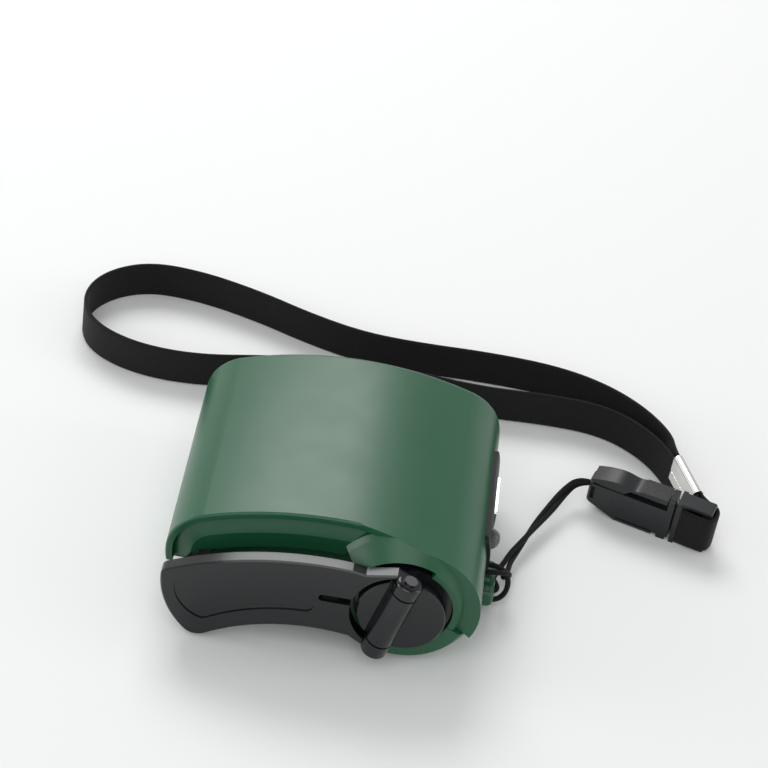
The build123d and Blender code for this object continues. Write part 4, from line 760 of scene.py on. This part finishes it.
# The middle line of the strap in plan, in route points.
STRAP_ROUTE = [
    (79.6, 79.9), (71.8, 89.0), (61.0, 95.6), (48.0, 99.0), (31.0, 99.6), (13.6, 98.7), (-1.0, 99.2),
    (-15.2, 103.1), (-30.0, 109.0), (-46.0, 113.2), (-60.0, 113.4), (-70.2, 106.4), (-74.0, 96.0),
    (-70.0, 85.4), (-58.0, 79.2), (-42.0, 78.4), (-24.0, 83.0), (-6.0, 87.2), (12.0, 87.0), (30.0, 85.2),
    (48.0, 86.6), (62.0, 86.2), (72.4, 80.9),
]
in_clamp = CRIMP_LENGTH / 2 + HALF_GAP
past_clamp = CRIMP_LENGTH + STRAP_LEAD
strap_first = [in_crimp(in_clamp, -LAYER_SIDE), in_crimp(past_clamp, -LAYER_SIDE)]
strap_last = [in_crimp(past_clamp, LAYER_SIDE), in_crimp(in_clamp, LAYER_SIDE)]
strap_middle = STRAP_FOOT + STRAP_WIDTH / 2
strap_points = [in_frame(x, y, strap_middle) for x, y in strap_first + STRAP_ROUTE + strap_last]

strap_line = smooth_line("strap_route", strap_points)
strap_profile = band_section(STRAP_WIDTH * MM, STRAP_THICK * MM)
wrist_strap, strap_length = sweep_section("woven_strap", strap_line, strap_profile, UPRIGHT)
paint(wrist_strap, webbing)
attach(wrist_strap, "insert")
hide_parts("wrist_strap")
print("strap length", round(strap_length, 3))

# %% [markdown]
# A second length of the same webbing goes round the bar of the buckle's frame and back into the clamp.

# %% Strap end round the frame's bar
TAB_FOOT = 1.2
TAB_FRONT = -3.1
TAB_OUTER = 32.0
# From the middle of the clamp round the bar and back, in plan.
tab_plan = [
    in_crimp(CRIMP_LENGTH / 2 - HALF_GAP, LAYER_SIDE),
    in_crimp(1.2, LAYER_SIDE),
    in_crimp(-0.6, LAYER_SIDE),
    from_buckle((24.7, 1.2)),
    from_buckle((24.2, -1.6)),
    from_buckle((24.6, -2.9)),
    from_buckle((26.2, TAB_FRONT)),
    from_buckle((29.6, TAB_FRONT)),
    from_buckle((31.3, -2.9)),
    from_buckle((TAB_OUTER, -1.2)),
    from_buckle((TAB_OUTER, 1.2)),
    from_buckle((31.0, 2.9)),
    from_buckle((28.6, 3.6)),
    in_crimp(-0.4, -LAYER_SIDE),
    in_crimp(1.4, -LAYER_SIDE),
    in_crimp(CRIMP_LENGTH / 2 - HALF_GAP, -LAYER_SIDE),
]
tab_points = [in_frame(x, y, TAB_FOOT + STRAP_WIDTH / 2) for x, y in tab_plan]
tab_line = smooth_line("tab_route", tab_points)
strap_end, end_length = sweep_section("woven_strap_end", tab_line, strap_profile, UPRIGHT)
paint(strap_end, webbing)
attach(strap_end, "insert")
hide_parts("strap_end")
print("strap end length", round(end_length, 4))

# %% [markdown]
# ## Thin cord
# A doubled braided cord, 1.3 mm a strand, runs from the lug to the buckle. Each strand is its own
# smooth curve, and the two are twisted once about each other.

# %% Cord strands
CORD_THICK = 1.3
CORD_TWISTS = 1
EASE_IN = 6
# The two strands and the hitch are given as route points in three dimensions.
CORD_A = [
    (39.2, 22.9, 3.4), (40.6, 27.0, 2.9), (41.9, 31.6, 2.6), (44.4, 37.2, 2.6), (47.2, 43.9, 2.9),
    (50.6, 50.8, 3.4), (54.2, 57.4, 4.5), (57.5, 60.6, 5.6), (60.67, 60.36, 5.9),
]
CORD_B = [
    (41.4, 22.4, 5.0), (42.6, 26.4, 4.5), (43.7, 31.0, 4.2), (45.9, 36.4, 4.2), (48.7, 42.9, 4.5),
    (52.1, 49.6, 5.1), (54.9, 55.6, 6.1), (57.4, 59.1, 7.0), (60.22, 58.93, 7.3),
]


def round_section(radius):
    """A round section with its points in order."""
    angles = [2 * math.pi * i / CORD_SIDES for i in range(CORD_SIDES)]
    return [(radius * math.cos(angle), radius * math.sin(angle)) for angle in angles]


def twisted(first, second, turns, radius):
    """Two lines laid side by side, twisted about each other; both keep their own ends.

    The strands draw together over the first and last part, which is one in EASE_IN of the length.
    """
    made = ([], [])
    last = len(first) - 1
    for i, (a, b) in enumerate(zip(first, second)):
        middle = (a + b) / 2
        ahead = (first[min(i + 1, last)] - first[max(i - 1, 0)]).normalized()
        share = i / last
        settled = min(1.0, EASE_IN * share, EASE_IN * (1 - share))
        settled = settled * settled * (3 - 2 * settled)
        apart = (a - b) / 2
        apart = apart.normalized() * (apart.length * (1 - settled) + radius * settled)
        apart = Matrix.Rotation(2 * math.pi * turns * share, 3, ahead) @ apart
        made[0].append(middle + apart)
        made[1].append(middle - apart)
    return made


cord_profile = round_section(CORD_THICK / 2 * MM)
plain_lines = [smooth_line("cord_route", [in_frame(*at) for at in plan]) for plan in (CORD_A, CORD_B)]
for label, line in zip(("1", "2"), twisted(*plain_lines, CORD_TWISTS, 0.5 * CORD_THICK * MM)):
    strand, strand_length = sweep_section("braided_strand_" + label, line, cord_profile, UPRIGHT)
    paint(strand, cord_braid)
    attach(strand, "housing")
    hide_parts("cord_strand_" + label)
    print("strand", label, round(strand_length, 4))

# %% [markdown]
# The hitch is one more length of the same cord: it comes from the first strand, winds twice round the
# lug's bar and runs on into the second strand.

# %% Hitch round the lug
HITCH = [
    (39.2, 22.9, 3.4), (40.8, 20.8, 3.0), (39.6, 19.6, 2.4), (35.3, 19.4, 2.5), (34.7, 19.4, 7.0),
    (35.3, 19.4, 10.9), (40.2, 19.4, 11.0), (42.6, 18.9, 8.0), (42.4, 17.4, 4.8), (40.4, 16.9, 2.4),
    (35.4, 16.8, 2.5), (34.7, 16.8, 7.0), (35.3, 16.8, 10.9), (40.0, 17.2, 11.0), (42.4, 19.3, 9.4),
    (42.6, 21.0, 6.8), (41.4, 22.4, 5.0),
]
ALONG_THE_BAR = Vector((0, 1, 0))
hitch_line = smooth_line("hitch_route", [in_frame(*at) for at in HITCH])
hitch, hitch_length = sweep_section("hitch_turns", hitch_line, cord_profile, ALONG_THE_BAR)
paint(hitch, cord_braid)
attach(hitch, "housing")
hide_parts("cord_hitch")
print("cord in the hitch", round(hitch_length, 4))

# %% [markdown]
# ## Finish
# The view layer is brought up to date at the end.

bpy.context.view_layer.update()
